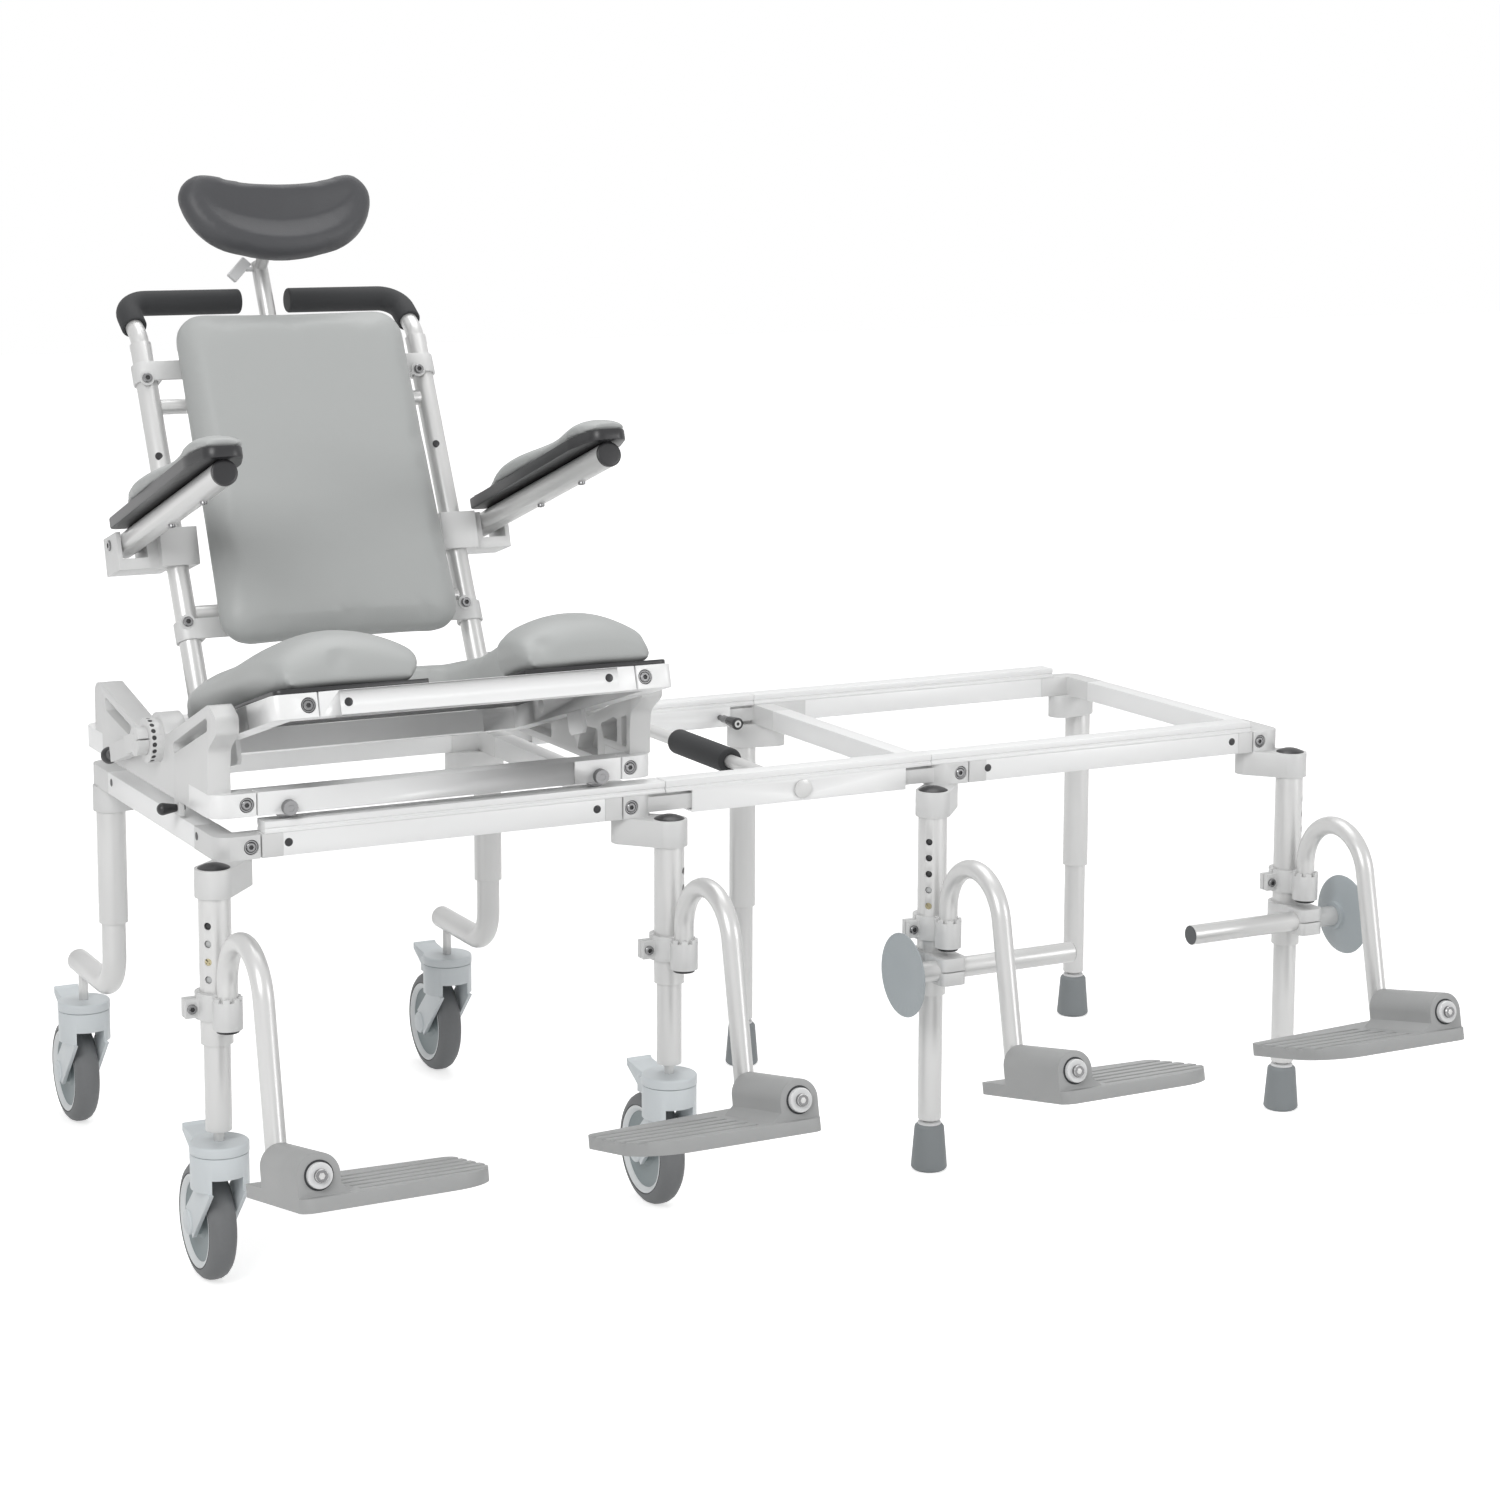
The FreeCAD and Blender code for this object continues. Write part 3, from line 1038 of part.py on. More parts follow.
def bridge():
    far = FAR_FACE - RAIL
    rails = []
    for y0 in (NEAR_FACE, far):
        rail = square_tube(BRIDGE_RAIL[0], BRIDGE_RAIL[1], y0, y0 + RAIL, RAIL_BOTTOM, "x")
        tools = [rod(V(HANDLE_X, y0 - OVERRUN, HANDLE_Z), V(HANDLE_X, y0 + RAIL + OVERRUN, HANDLE_Z),
                     HANDLE_BAR_RADIUS)]
        if y0 == far:
            for x in latch_places().values():
                tools.append(rod(V(x, y0 - OVERRUN, RAIL_BOTTOM + RAIL / 2),
                                 V(x, y0 + RAIL / 2, RAIL_BOTTOM + RAIL / 2),
                                 LATCH_PIN_RADIUS + RUNNING))
        rails.append(cut(rail, tools))
    node("bridge_rails", rails + tracks(BRIDGE_TRACK))
    near_end, far_end = NEAR_FACE - HANDLE_DISC, FAR_FACE + HANDLE_DISC
    bar = rod(V(HANDLE_X, near_end, HANDLE_Z), V(HANDLE_X, far_end, HANDLE_Z), HANDLE_BAR_RADIUS)
    discs = [rod(V(HANDLE_X, near_end, HANDLE_Z), V(HANDLE_X, NEAR_FACE, HANDLE_Z), HANDLE_DISC_RADIUS),
             rod(V(HANDLE_X, FAR_FACE, HANDLE_Z), V(HANDLE_X, far_end, HANDLE_Z), HANDLE_DISC_RADIUS)]
    foam = pipe(V(HANDLE_X, FOAM_RUN[0], HANDLE_Z), V(HANDLE_X, FOAM_RUN[1], HANDLE_Z), FOAM_RADIUS,
                FOAM_RADIUS - HANDLE_BAR_RADIUS)
    foam = foam.makeFillet(FOAM_RADIUS / 4, [e for e in foam.Edges if e.Closed
                                             and abs(e.Length - 2 * math.pi * FOAM_RADIUS) < 1])
    node("bridge_handle", [fuse([bar] + discs), foam])


def latch_places():
    """X of the latch pin at each end of the far bridge rail."""
    return {"chair_end": BRIDGE_RAIL[0] + LATCH_INSET, "tub_end": BRIDGE_RAIL[1] - LATCH_INSET}


def latches():
    face = FAR_FACE - RAIL
    z = RAIL_BOTTOM + RAIL / 2
    for name, x in latch_places().items():
        pin = rod(V(x, face + RAIL_WALL, z), V(x, face - LATCH_TRAVEL, z), LATCH_PIN_RADIUS)
        shank = rod(V(x, face - LATCH_TRAVEL, z), V(x, face - LATCH_SHANK, z), LATCH_SHANK_RADIUS)
        start = face - LATCH_SHANK
        root = LATCH_KNOB_RADIUS * LATCH_ROOT_SHARE
        knob = Part.makeCone(root, LATCH_KNOB_RADIUS, LATCH_KNOB, V(x, start, z),
                             V(0, -1, 0))
        node("latch_pin_" + name, [fuse([pin, shank]), knob])


# Carriage

def on_bracket(shares):
    """Points on the side of a bracket, as (y, z), from shares of its width and height."""
    return [(BRACKET_FRONT + a * BRACKET_WIDTH, CARRIAGE_Z + RAIL + b * BRACKET_HEIGHT)
            for a, b in shares]


def bracket_body(x0, x1):
    """The winged plate with its foot between the rails and a round hub seat."""
    top, foot = CARRIAGE_Z + RAIL, NEAR_FACE + BRACKET_FOOT
    heel, back = FAR_FACE - BRACKET_FOOT, BRACKET_FRONT + BRACKET_WIDTH
    front = NEAR_FACE + BRACKET_FOOT_FRONT
    feet = [(front, top), (foot, top), (foot, CARRIAGE_Z), (heel, CARRIAGE_Z), (heel, top), (back, top)]
    wings_shares = ((1.0, 0.575), (0.937, 0.617), (0.55, 0.265), (0.369, 0.441), (0.054, 1.005),
                    (0.0, 0.89), (0.0, 0.71), (0.063, 0.503), (0.07, 0.286))
    radius_shares = (3.2, 0.0, 0.0, 0.0, 2.8, 2.0, 1.6, 2.8, 0.0)
    radii = [0.0] * len(feet) + [a * WINDOW_ROUND for a in radius_shares]
    wings = prism_x(feet + on_bracket(wings_shares), x0, x1, radii)
    return fuse([wings, rod(V(x0, HUB_Y, HUB_Z), V(x1, HUB_Y, HUB_Z), HUB_RADIUS_OUT)])


def bracket_windows():
    """The long slots through the wings, as (y, z) outlines."""
    front_shares = ((0.34, 0.224), (0.329, 0.374), (0.063, 0.865), (0.068, 0.7))
    back_shares = ((0.68, 0.151), (0.678, 0.286), (0.91, 0.472), (0.901, 0.306))
    return [on_bracket(front_shares), on_bracket(back_shares)]


def bracket_pockets():
    """The hollows between the ribs on the inner side, as (y, z) outlines."""
    pocket_shares = (
        ((0.09, 0.072), (0.119, 0.072), (0.122, 0.4), (0.088, 0.451)),
        ((0.144, 0.089), (0.225, 0.072), (0.243, 0.234), (0.167, 0.369), (0.144, 0.358)),
        ((0.261, -0.18), (0.387, -0.18), (0.369, 0.006), (0.351, 0.13), (0.261, 0.151)),
        ((0.55, -0.18), (0.752, -0.18), (0.752, 0.13), (0.595, 0.048), (0.55, -0.014)),
        ((0.779, -0.18), (0.914, -0.18), (0.914, 0.068), (0.977, 0.089), (0.977, 0.286), (0.779, 0.141)))
    return [on_bracket(shares) for shares in pocket_shares]


def tilt_bracket(outer, inward):
    """A cast bracket: a smooth outer skin with pockets sunk from the inner side."""
    inner = outer + inward * BRACKET_THICK
    body = bracket_body(outer, inner)
    tools = [prism_x(o, outer - inward * OVERRUN, inner + inward * OVERRUN, [WINDOW_ROUND] * len(o))
             for o in bracket_windows()]
    tools += [prism_x(o, outer + inward * BRACKET_SKIN, inner + inward * OVERRUN,
                      [POCKET_ROUND] * len(o)) for o in bracket_pockets()]
    tools.append(rod(V(outer - inward * OVERRUN, HUB_Y, HUB_Z),
                     V(inner + inward * OVERRUN, HUB_Y, HUB_Z),
                     SHAFT_RADIUS + RUNNING))
    return cut(body, tools)


def index_ring():
    """The ring of lock holes round the left hub."""
    x0 = CARRIAGE_LEFT - RING_WIDTH
    ring = pipe(V(x0, HUB_Y, HUB_Z), V(CARRIAGE_LEFT, HUB_Y, HUB_Z), RING_RADIUS,
                RING_RADIUS - SHAFT_RADIUS - RUNNING)
    centre = V(CARRIAGE_LEFT - RING_HOLE_LINE, HUB_Y, HUB_Z)
    for i in range(RING_HOLE_COUNT):
        a = math.radians(-TILT + 360 / RING_HOLE_COUNT * i)
        way = V(0, math.cos(a), math.sin(a))
        start = centre.add(V(way).multiply(RING_RADIUS - RING_HOLE_DEPTH))
        ring = ring.cut(rod(start, centre.add(V(way).multiply(RING_RADIUS + OVERRUN)), RING_HOLE_RADIUS))
    return ring


def carriage():
    rails, corners = square_frame(CARRIAGE_LEFT, CARRIAGE_RIGHT, NEAR_FACE, FAR_FACE, CARRIAGE_Z,
                                  CARRIAGE_SLITS, CARRIAGE_ARMS, SIDE_ARM, CORNER_RADIUS, False)
    axle_z = DECK_TOP + TRACK_HEIGHT + ROLLER_RADIUS
    rollers, room = [], []
    for x in ROLLER_X:
        for face, out in ((NEAR_FACE, -1), (FAR_FACE, 1)):
            middle = face - out * RAIL / 2
            half = ROLLER_WIDTH / 2
            room.append(box(x - ROLLER_RADIUS - ROLLER_SIDE_PLAY, x + ROLLER_RADIUS + ROLLER_SIDE_PLAY,
                            middle - half - ROLLER_SIDE_PLAY, middle + half + ROLLER_SIDE_PLAY,
                            CARRIAGE_Z - OVERRUN, axle_z + ROLLER_RADIUS + ROLLER_SIDE_PLAY))
            room.append(rod(V(x, face + out * OVERRUN, axle_z),
                            V(x, middle - out * (half + OVERRUN), axle_z),
                            ROLLER_AXLE_RADIUS))
            wheel = pipe(V(x, middle - half, axle_z), V(x, middle + half, axle_z), ROLLER_RADIUS,
                         ROLLER_RADIUS - ROLLER_AXLE_RADIUS - RUNNING)
            bolt = rod(V(x, face, axle_z), V(x, middle - out * (half + OVERRUN), axle_z),
                       ROLLER_AXLE_RADIUS)
            head = rod(V(x, face + out * ROLLER_HEAD, axle_z), V(x, face, axle_z), ROLLER_HEAD_RADIUS)
            rollers += [wheel, fuse([bolt, head])]
    corners = [cut(c, room) for c in corners]
    rails = [cut(r, room) for r in rails]
    knob_bore = rod(V(CARRIAGE_LEFT, LOCK_KNOB_Y, LOCK_KNOB_Z),
                    V(BRACKET_THICK, LOCK_KNOB_Y, LOCK_KNOB_Z),
                    LOCK_PIN_RADIUS + RUNNING)
    lug = box(CARRIAGE_LEFT, CARRIAGE_LEFT + BRACKET_SKIN, LOCK_KNOB_Y - LOCK_KNOB_RADIUS,
              LOCK_KNOB_Y + LOCK_KNOB_RADIUS, LOCK_KNOB_Z - LOCK_KNOB_RADIUS, CARRIAGE_Z)
    left = fuse([tilt_bracket(CARRIAGE_LEFT, 1), lug]).cut(knob_bore)
    node("carriage_frame", rails + corners)
    node("tilt_brackets", [left, tilt_bracket(CARRIAGE_RIGHT, -1), index_ring()])
    node("carriage_rollers", rollers)
    node("carriage_lock_knob", [lock_knob()])


def lock_knob():
    """The spring knob that locks the carriage: a round head and its pin, turned in one piece."""
    knob_end, knob_root = CARRIAGE_LEFT - LOCK_KNOB_LENGTH, CARRIAGE_LEFT - SEAT_GAP
    pin_end = CARRIAGE_LEFT + LOCK_PIN_LENGTH
    profile = [(knob_end, 0.0), (knob_end, LOCK_KNOB_RADIUS), (knob_root, LOCK_KNOB_RADIUS / 2),
               (knob_root, LOCK_PIN_RADIUS), (pin_end, LOCK_PIN_RADIUS), (pin_end, 0.0)]
    face = rounded_face([V(x, LOCK_KNOB_Y, LOCK_KNOB_Z + r) for x, r in profile],
                        [0.0, LOCK_KNOB_ROUND_SHARE * LOCK_KNOB_RADIUS, 0.0, 0.0, 0.0, 0.0])
    return face.revolve(V(knob_end, LOCK_KNOB_Y, LOCK_KNOB_Z), V(1, 0, 0), 360)


# Seat

def seat_frame():
    rails, corners = square_frame(SEAT_LEFT, SEAT_RIGHT, SEAT_FRONT, SEAT_BACK, SEAT_RAIL_BOTTOM,
                                  SEAT_SLITS, SEAT_ARMS, SEAT_SIDE_ARM, SEAT_CORNER_RADIUS)
    bores = [rod(V(side - RAIL, 0, 0), V(side + 2 * RAIL, 0, 0), SHAFT_RADIUS)
             for side in (SEAT_LEFT, SEAT_RIGHT - RAIL)]
    rails = [cut(r, bores) for r in rails]
    corners = [cut(c, bores) for c in corners]
    lugs = []
    for inner, way in ((SEAT_LEFT + RAIL, -1), (SEAT_RIGHT - RAIL, 1)):
        plate = prism_x([(LUG_FRONT, SEAT_RAIL_BOTTOM), (LUG_BACK, SEAT_RAIL_BOTTOM),
                         (LUG_BACK, SEAT_RAIL_BOTTOM - LUG_DROP + LUG_WIDTH),
                         (LUG_BACK - LUG_WIDTH, SEAT_RAIL_BOTTOM - LUG_DROP),
                         (LUG_FRONT + LUG_WIDTH, SEAT_RAIL_BOTTOM - LUG_DROP),
                         (LUG_FRONT, SEAT_RAIL_BOTTOM - LUG_DROP + LUG_WIDTH)],
                        inner, inner + way * LUG_WIDTH)
        lugs.append(plate)
    node("seat_frame", [seat_place(s) for s in rails + corners + lugs])


def tilt_shafts():
    """Stub shafts through the side rails, the split clamp and the lock housing on the left one."""
    left_end = CARRIAGE_LEFT - RING_WIDTH - SEAT_GAP - CLAMP_HUB_WIDTH
    cover_start = CARRIAGE_RIGHT + SEAT_GAP
    left = rod(V(left_end, 0, 0), V(SEAT_LEFT + RAIL, 0, 0), SHAFT_RADIUS)
    right = rod(V(SEAT_RIGHT - RAIL, 0, 0), V(cover_start, 0, 0), SHAFT_RADIUS)
    cover = rod(V(cover_start, 0, 0), V(cover_start + SHAFT_COVER, 0, 0), CLAMP_HUB_RADIUS)
    half = HOUSING_HEIGHT / 2
    start = RING_RADIUS + SEAT_GAP
    hub_end = left_end + CLAMP_HUB_WIDTH
    mid = CARRIAGE_LEFT - RING_HOLE_LINE
    hub = fuse([rod(V(left_end, 0, 0), V(hub_end, 0, 0), CLAMP_HUB_RADIUS),
                box(left_end, hub_end, 0, start + HOUSING_WIDTH, -half, half)])
    bar = box(mid - HOUSING_WIDTH / 2, mid + HOUSING_WIDTH / 2, start, start + HOUSING_LENGTH,
              -half, half)
    clamp = cut(fuse([hub, bar]), [
        rod(V(left_end - OVERRUN, 0, 0), V(0, 0, 0), SHAFT_RADIUS),
        rod(V(mid, 0, 0), V(mid, HOUSING_LENGTH + 2 * start, 0), PLUNGER_RADIUS + RUNNING),
        box(left_end - OVERRUN, hub_end + OVERRUN, -2 * CLAMP_HUB_RADIUS, 0, -CLAMP_SPLIT / 2,
            CLAMP_SPLIT / 2)])
    node("tilt_shafts", [seat_place(s) for s in (left, fuse([right, cover]), clamp)])
    back = start + HOUSING_LENGTH
    nose = rod(V(mid, start, 0), V(mid, start + HOUSING_START, 0), PLUNGER_NOSE_RADIUS)
    stem = rod(V(mid, start + PLUNGER_TRAVEL, 0), V(mid, back + PLUNGER_TRAVEL, 0), PLUNGER_RADIUS)
    ball_at = back + PLUNGER_TRAVEL + PLUNGER_NECK + PLUNGER_BALL_RADIUS
    neck = rod(V(mid, back + PLUNGER_TRAVEL, 0), V(mid, ball_at, 0), PLUNGER_NECK_RADIUS)
    ball = Part.makeSphere(PLUNGER_BALL_RADIUS, V(mid, ball_at, 0))
    node("tilt_plunger", [seat_place(fuse([nose, stem, neck, ball]))])


def horseshoe_opening(grow, z0, z1):
    """The commode opening: an oval with a throat to the front."""
    half = OPENING_WIDTH / 2 + grow
    throat = OPENING_FRONT / 2 + grow
    oval = rod(V(CHAIR_MIDDLE, OPENING_BACK - half + grow, z0),
               V(CHAIR_MIDDLE, OPENING_BACK - half + grow, z1), half)
    front_y = OPENING_MID - half / 2
    oval_front = rod(V(CHAIR_MIDDLE, front_y, z0), V(CHAIR_MIDDLE, front_y, z1), half)
    middle = box(CHAIR_MIDDLE - half, CHAIR_MIDDLE + half, front_y, OPENING_BACK - half + grow, z0, z1)
    neck = box(CHAIR_MIDDLE - throat, CHAIR_MIDDLE + throat, SEAT_FRONT - RAIL, front_y, z0, z1)
    return fuse([oval, oval_front, middle, neck])


def crowned(plane, spans):
    """A loft along v or X through crowned sections: (station, low end, high end, base, top)."""
    wires = []
    for at, a0, a1, base, top in spans:
        side = base + (top - base) * CROWN_SIDE_SHARE
        bulge = (a1 - a0) * CROWN_BULGE_SHARE
        if plane == "v":
            def point(a, w, at=at):
                return V(a, at, w)
        else:
            def point(a, w, at=at):
                return V(at, a, w)
        inset = (a1 - a0) * CROWN_INSET_SHARE
        lo, hi = point(a0 + inset, base), point(a1 - inset, base)
        lo_top, hi_top = point(a0 + inset / 2, side), point(a1 - inset / 2, side)
        edges = [Part.LineSegment(lo, hi).toShape(),
                 Part.Arc(hi, point(a1 + bulge - inset / 2, (base + side) / 2), hi_top).toShape(),
                 Part.Arc(hi_top, point((a0 + a1) / 2, top), lo_top).toShape(),
                 Part.Arc(lo_top, point(a0 - bulge + inset / 2, (base + side) / 2), lo).toShape()]
        wires.append(Part.Wire(edges))
    return Part.makeLoft(wires, True, False)


def seat_pad():
    """A moulded horseshoe pad: two crowned lobes and a saddle behind the opening."""
    base = SEAT_RAIL_BOTTOM + RAIL + PAN_THICK + SEAT_GAP
    left, right = SEAT_LEFT + PAN_INSET / 2, SEAT_RIGHT - PAN_INSET / 2
    front, back = SEAT_FRONT + PAN_INSET / 2, POST_BASE_V - POST_RADIUS - PAD_POST_GAP
    inner = OPENING_FRONT / 2
    span = back - front
    lobes = []
    for sign in (-1, 1):
        spans = []
        for share, rise, draw_share in LOBE_SHARES:
            draw = draw_share * PAD_DRAW
            outer_x = (left + draw) if sign < 0 else (right - draw)
            inner_x = CHAIR_MIDDLE + sign * (inner + draw / 2)
            lift = PAD_LIFT * max(0.0, 1 - abs(share - PAD_LIFT_PLACE_SHARE) / PAD_LIFT_REACH_SHARE)
            low, high = min(outer_x, inner_x), max(outer_x, inner_x)
            spans.append((front + share * span, low, high, base, base + PAD_HEIGHT * rise + lift))
        lobes.append(crowned("v", spans))
    saddle_back, saddle_front = back - SADDLE_BACK, OPENING_BACK - SADDLE_REACH
    places = [left + SADDLE_INSET, (left + CHAIR_MIDDLE) / 2, CHAIR_MIDDLE,
              (right + CHAIR_MIDDLE) / 2, right - SADDLE_INSET]
    saddle = crowned("x", [(x, saddle_front, saddle_back, base, base + PAD_HEIGHT * rise)
                           for x, rise in zip(places, SADDLE_SHARES)])
    pad = fuse(lobes + [saddle]).cut(horseshoe_opening(0.0, base - OVERRUN, base + 3 * PAD_HEIGHT))
    node("seat_pad", [seat_place(pad)])


def seat_pan():
    """The thin board under the pad, with the same opening."""
    z0 = SEAT_RAIL_BOTTOM + RAIL
    board = box(SEAT_LEFT + PAN_INSET / 2, SEAT_RIGHT - PAN_INSET / 2, SEAT_FRONT + PAN_SETBACK,
                SEAT_BACK - 2 * POST_RADIUS - PAN_INSET, z0, z0 + PAN_THICK)
    corners = [e for e in board.Edges if e.BoundBox.ZMax - e.BoundBox.ZMin > PAN_THICK / 2]
    board = board.makeFillet(SEAT_CORNER_RADIUS, corners)
    board = board.cut(horseshoe_opening(-PAN_INSET / 2, z0 - OVERRUN, z0 + 2 * PAN_THICK))
    node("seat_pan", [seat_place(board)])


def handle_path(side, start_share):
    """Points from the top of a back post to the end of its push grip."""
    x = CHAIR_MIDDLE + side * POST_X
    low = V(x, post_v(UPPER_POST_TOP), UPPER_POST_TOP)
    turn = V(x, HANDLE_V, HANDLE_W)
    end = V(CHAIR_MIDDLE + side * GRIP_INNER_X, HANDLE_V, HANDLE_W)
    start = low.add(turn.sub(low).multiply(start_share))
    return start, turn, end


def back_frame():
    solids = []
    base_w = SEAT_RAIL_BOTTOM + RAIL
    for side in (-1, 1):
        x = CHAIR_MIDDLE + side * POST_X
        foot = V(x, post_v(base_w), base_w)
        sleeve = V(x, post_v(POST_SLEEVE_TOP), POST_SLEEVE_TOP)
        start, turn, end = handle_path(side, 0.0)
        lower = rod(V(x, post_v(base_w - OVERRUN), base_w - OVERRUN), sleeve, POST_RADIUS)
        lower = lower.cut(box(x - RAIL, x + RAIL, 0, 2 * SEAT_BACK, base_w - RAIL, base_w))
        upper = swept_rod([foot.add(sleeve).multiply(0.5), start, turn, end],
                          [HANDLE_BEND, HANDLE_BEND], UPPER_POST_RADIUS)
        solids.append(fuse([lower, upper]))
    for w in BACK_BARS_W:
        x = POST_X - POST_RADIUS + BACK_BAR_SINK
        solids.append(rod(V(CHAIR_MIDDLE - x, post_v(w), w), V(CHAIR_MIDDLE + x, post_v(w), w),
                          BACK_BAR_RADIUS))
    frame = fuse(solids)
    low = V(CHAIR_MIDDLE, post_v(RECEIVER_BOTTOM) + HEAD_POST_SETBACK, RECEIVER_BOTTOM)
    high = V(CHAIR_MIDDLE, post_v(RECEIVER_TOP) + HEAD_POST_SETBACK, RECEIVER_TOP)
    web_w = BACK_BARS_W[1]
    web = box(CHAIR_MIDDLE - BACK_BAR_RADIUS, CHAIR_MIDDLE + BACK_BAR_RADIUS, post_v(web_w),
              post_v(web_w) + HEAD_POST_SETBACK, web_w - BACK_BAR_RADIUS, web_w + BACK_BAR_RADIUS)
    frame = fuse([frame, web, rod(low, high, RECEIVER_RADIUS)])
    over = high.sub(low)
    frame = frame.cut(rod(low.sub(over), high.add(over), HEAD_POST_RADIUS + RUNNING))
    node("back_posts", [seat_place(frame)])
    grips = []
    for side in (-1, 1):
        start, turn, end = handle_path(side, GRIP_START_SHARE)
        outer = swept_rod([start, turn, end], [HANDLE_BEND], GRIP_RADIUS)
        close = rod(end, end.add(V(side * -OVERRUN, 0, 0)), GRIP_RADIUS)
        rims = [e for e in close.Edges
                if e.Closed and abs(e.BoundBox.XMin - end.x + side * OVERRUN) < RUNNING]
        close = close.makeFillet(OVERRUN * GRIP_END_ROUND_SHARE, rims)
        core = swept_rod([start, turn, end], [HANDLE_BEND], UPPER_POST_RADIUS)
        grips.append(fuse([outer, close]).cut(core))
    node("push_grips", [seat_place(g) for g in grips])


def rounded_rect(cx, cw, half_w, half_h, taper, radius, depth):
    """A rounded rectangle wire in the plane y = depth, narrower at the top by the taper."""
    top = half_w - taper
    corners = [(cx - half_w, cw - half_h), (cx + half_w, cw - half_h), (cx + top, cw + half_h),
               (cx - top, cw + half_h)]
    edges, count = [], len(corners)
    ends = []
    for i, (x, w) in enumerate(corners):
        px, pw = corners[i - 1]
        nx, nw = corners[(i + 1) % count]
        to_prev = V(px - x, 0, pw - w).normalize()
        to_next = V(nx - x, 0, nw - w).normalize()
        here = V(x, depth, w)
        first = here.add(V(to_prev).multiply(radius))
        last = here.add(V(to_next).multiply(radius))
        middle = here.add(V(to_prev).add(to_next).multiply(radius * ARC_MIDDLE_SHARE))
        ends.append((first, middle, last))
    for i, (first, middle, last) in enumerate(ends):
        edges.append(Part.Arc(first, middle, last).toShape())
        edges.append(Part.LineSegment(last, ends[(i + 1) % count][0]).toShape())
    return Part.Wire(edges)


def lean_with_posts(shape, w0):
    """Turns a shape about the post line at a height, to lean as the posts do."""
    shape.rotate(V(0, post_v(w0), w0), V(1, 0, 0), -POST_LEAN)
    return shape


def back_cushion():
    """A crowned back cushion with drawn-in sides, in front of the posts."""
    mid = (CUSHION_BOTTOM + CUSHION_TOP) / 2
    half_h = (CUSHION_TOP - CUSHION_BOTTOM) / 2
    back = post_v(mid) - CUSHION_STANDOFF
    places = [(share, draw * CUSHION_DRAW) for share, draw in CUSHION_SHARES]
    wires = [rounded_rect(CHAIR_MIDDLE, mid, CUSHION_WIDTH / 2 - inset, half_h - inset,
                          CUSHION_TAPER / 2, CUSHION_CORNER - inset / 2, back - share * CUSHION_THICK)
             for share, inset in places]
    pad = Part.makeLoft(wires, True, False)
    node("back_cushion", [seat_place(lean_with_posts(pad, mid))])


def back_clips():
    """Four pressed clips that hold the cushion board to the posts."""
    clips = []
    for side in (-1, 1):
        for w in CLIP_W:
            x, v = CHAIR_MIDDLE + side * POST_X, post_v(w)
            radius = POST_RADIUS if w < POST_SLEEVE_TOP else UPPER_POST_RADIUS
            half = CLIP_HEIGHT / 2
            ring = rod(V(x, v, w - half), V(x, v, w + half), radius + CLIP_THICK)
            inner = CHAIR_MIDDLE + side * (CUSHION_WIDTH / 2 - CUSHION_CORNER)
            face = v - CUSHION_STANDOFF + SEAT_GAP
            strap = box(x, inner, face, face + CLIP_THICK, w - half, w + half)
            foot = box(x - side * (radius + CLIP_THICK), x, face, v, w - half, w + half)
            clip = fuse([ring, strap, foot])
            clip = clip.cut(rod(V(x, v, w - 2 * CLIP_HEIGHT), V(x, v, w + 2 * CLIP_HEIGHT), radius))
            clips.append(seat_place(lean_with_posts(clip, w)))
    node("back_clips", clips)


# Headrest

def head_point(w):
    """A point on the line of the headrest post."""
    return V(CHAIR_MIDDLE, post_v(w) + HEAD_POST_SETBACK, w)


def kidney(scale, depth):
    """The kidney outline of the headrest pad, in the plane y = depth."""
    half = HEAD_HALF_WIDTH * scale

    def arc(*shares):
        return Part.Arc(*[V(half * a, depth, half * b) for a, b in shares]).toShape()
    side_shares = ((1.0, 0.0), (0.945, 0.195), (0.8, 0.28))
    under_shares = ((0.45, -0.54), (0.86, -0.31), (1.0, 0.0))
    dip_share, low_share = 0.165, -0.61
    lobe, hip = side_shares[-1], under_shares[0]
    mirrored = [[(-a, b) for a, b in shares] for shares in (side_shares, under_shares)]
    return Part.Wire([arc(*side_shares), arc(lobe, (0.0, dip_share), (-lobe[0], lobe[1])),
                      arc(*reversed(mirrored[0])), arc(*reversed(mirrored[1])),
                      arc((-hip[0], hip[1]), (0.0, low_share), hip), arc(*under_shares)])


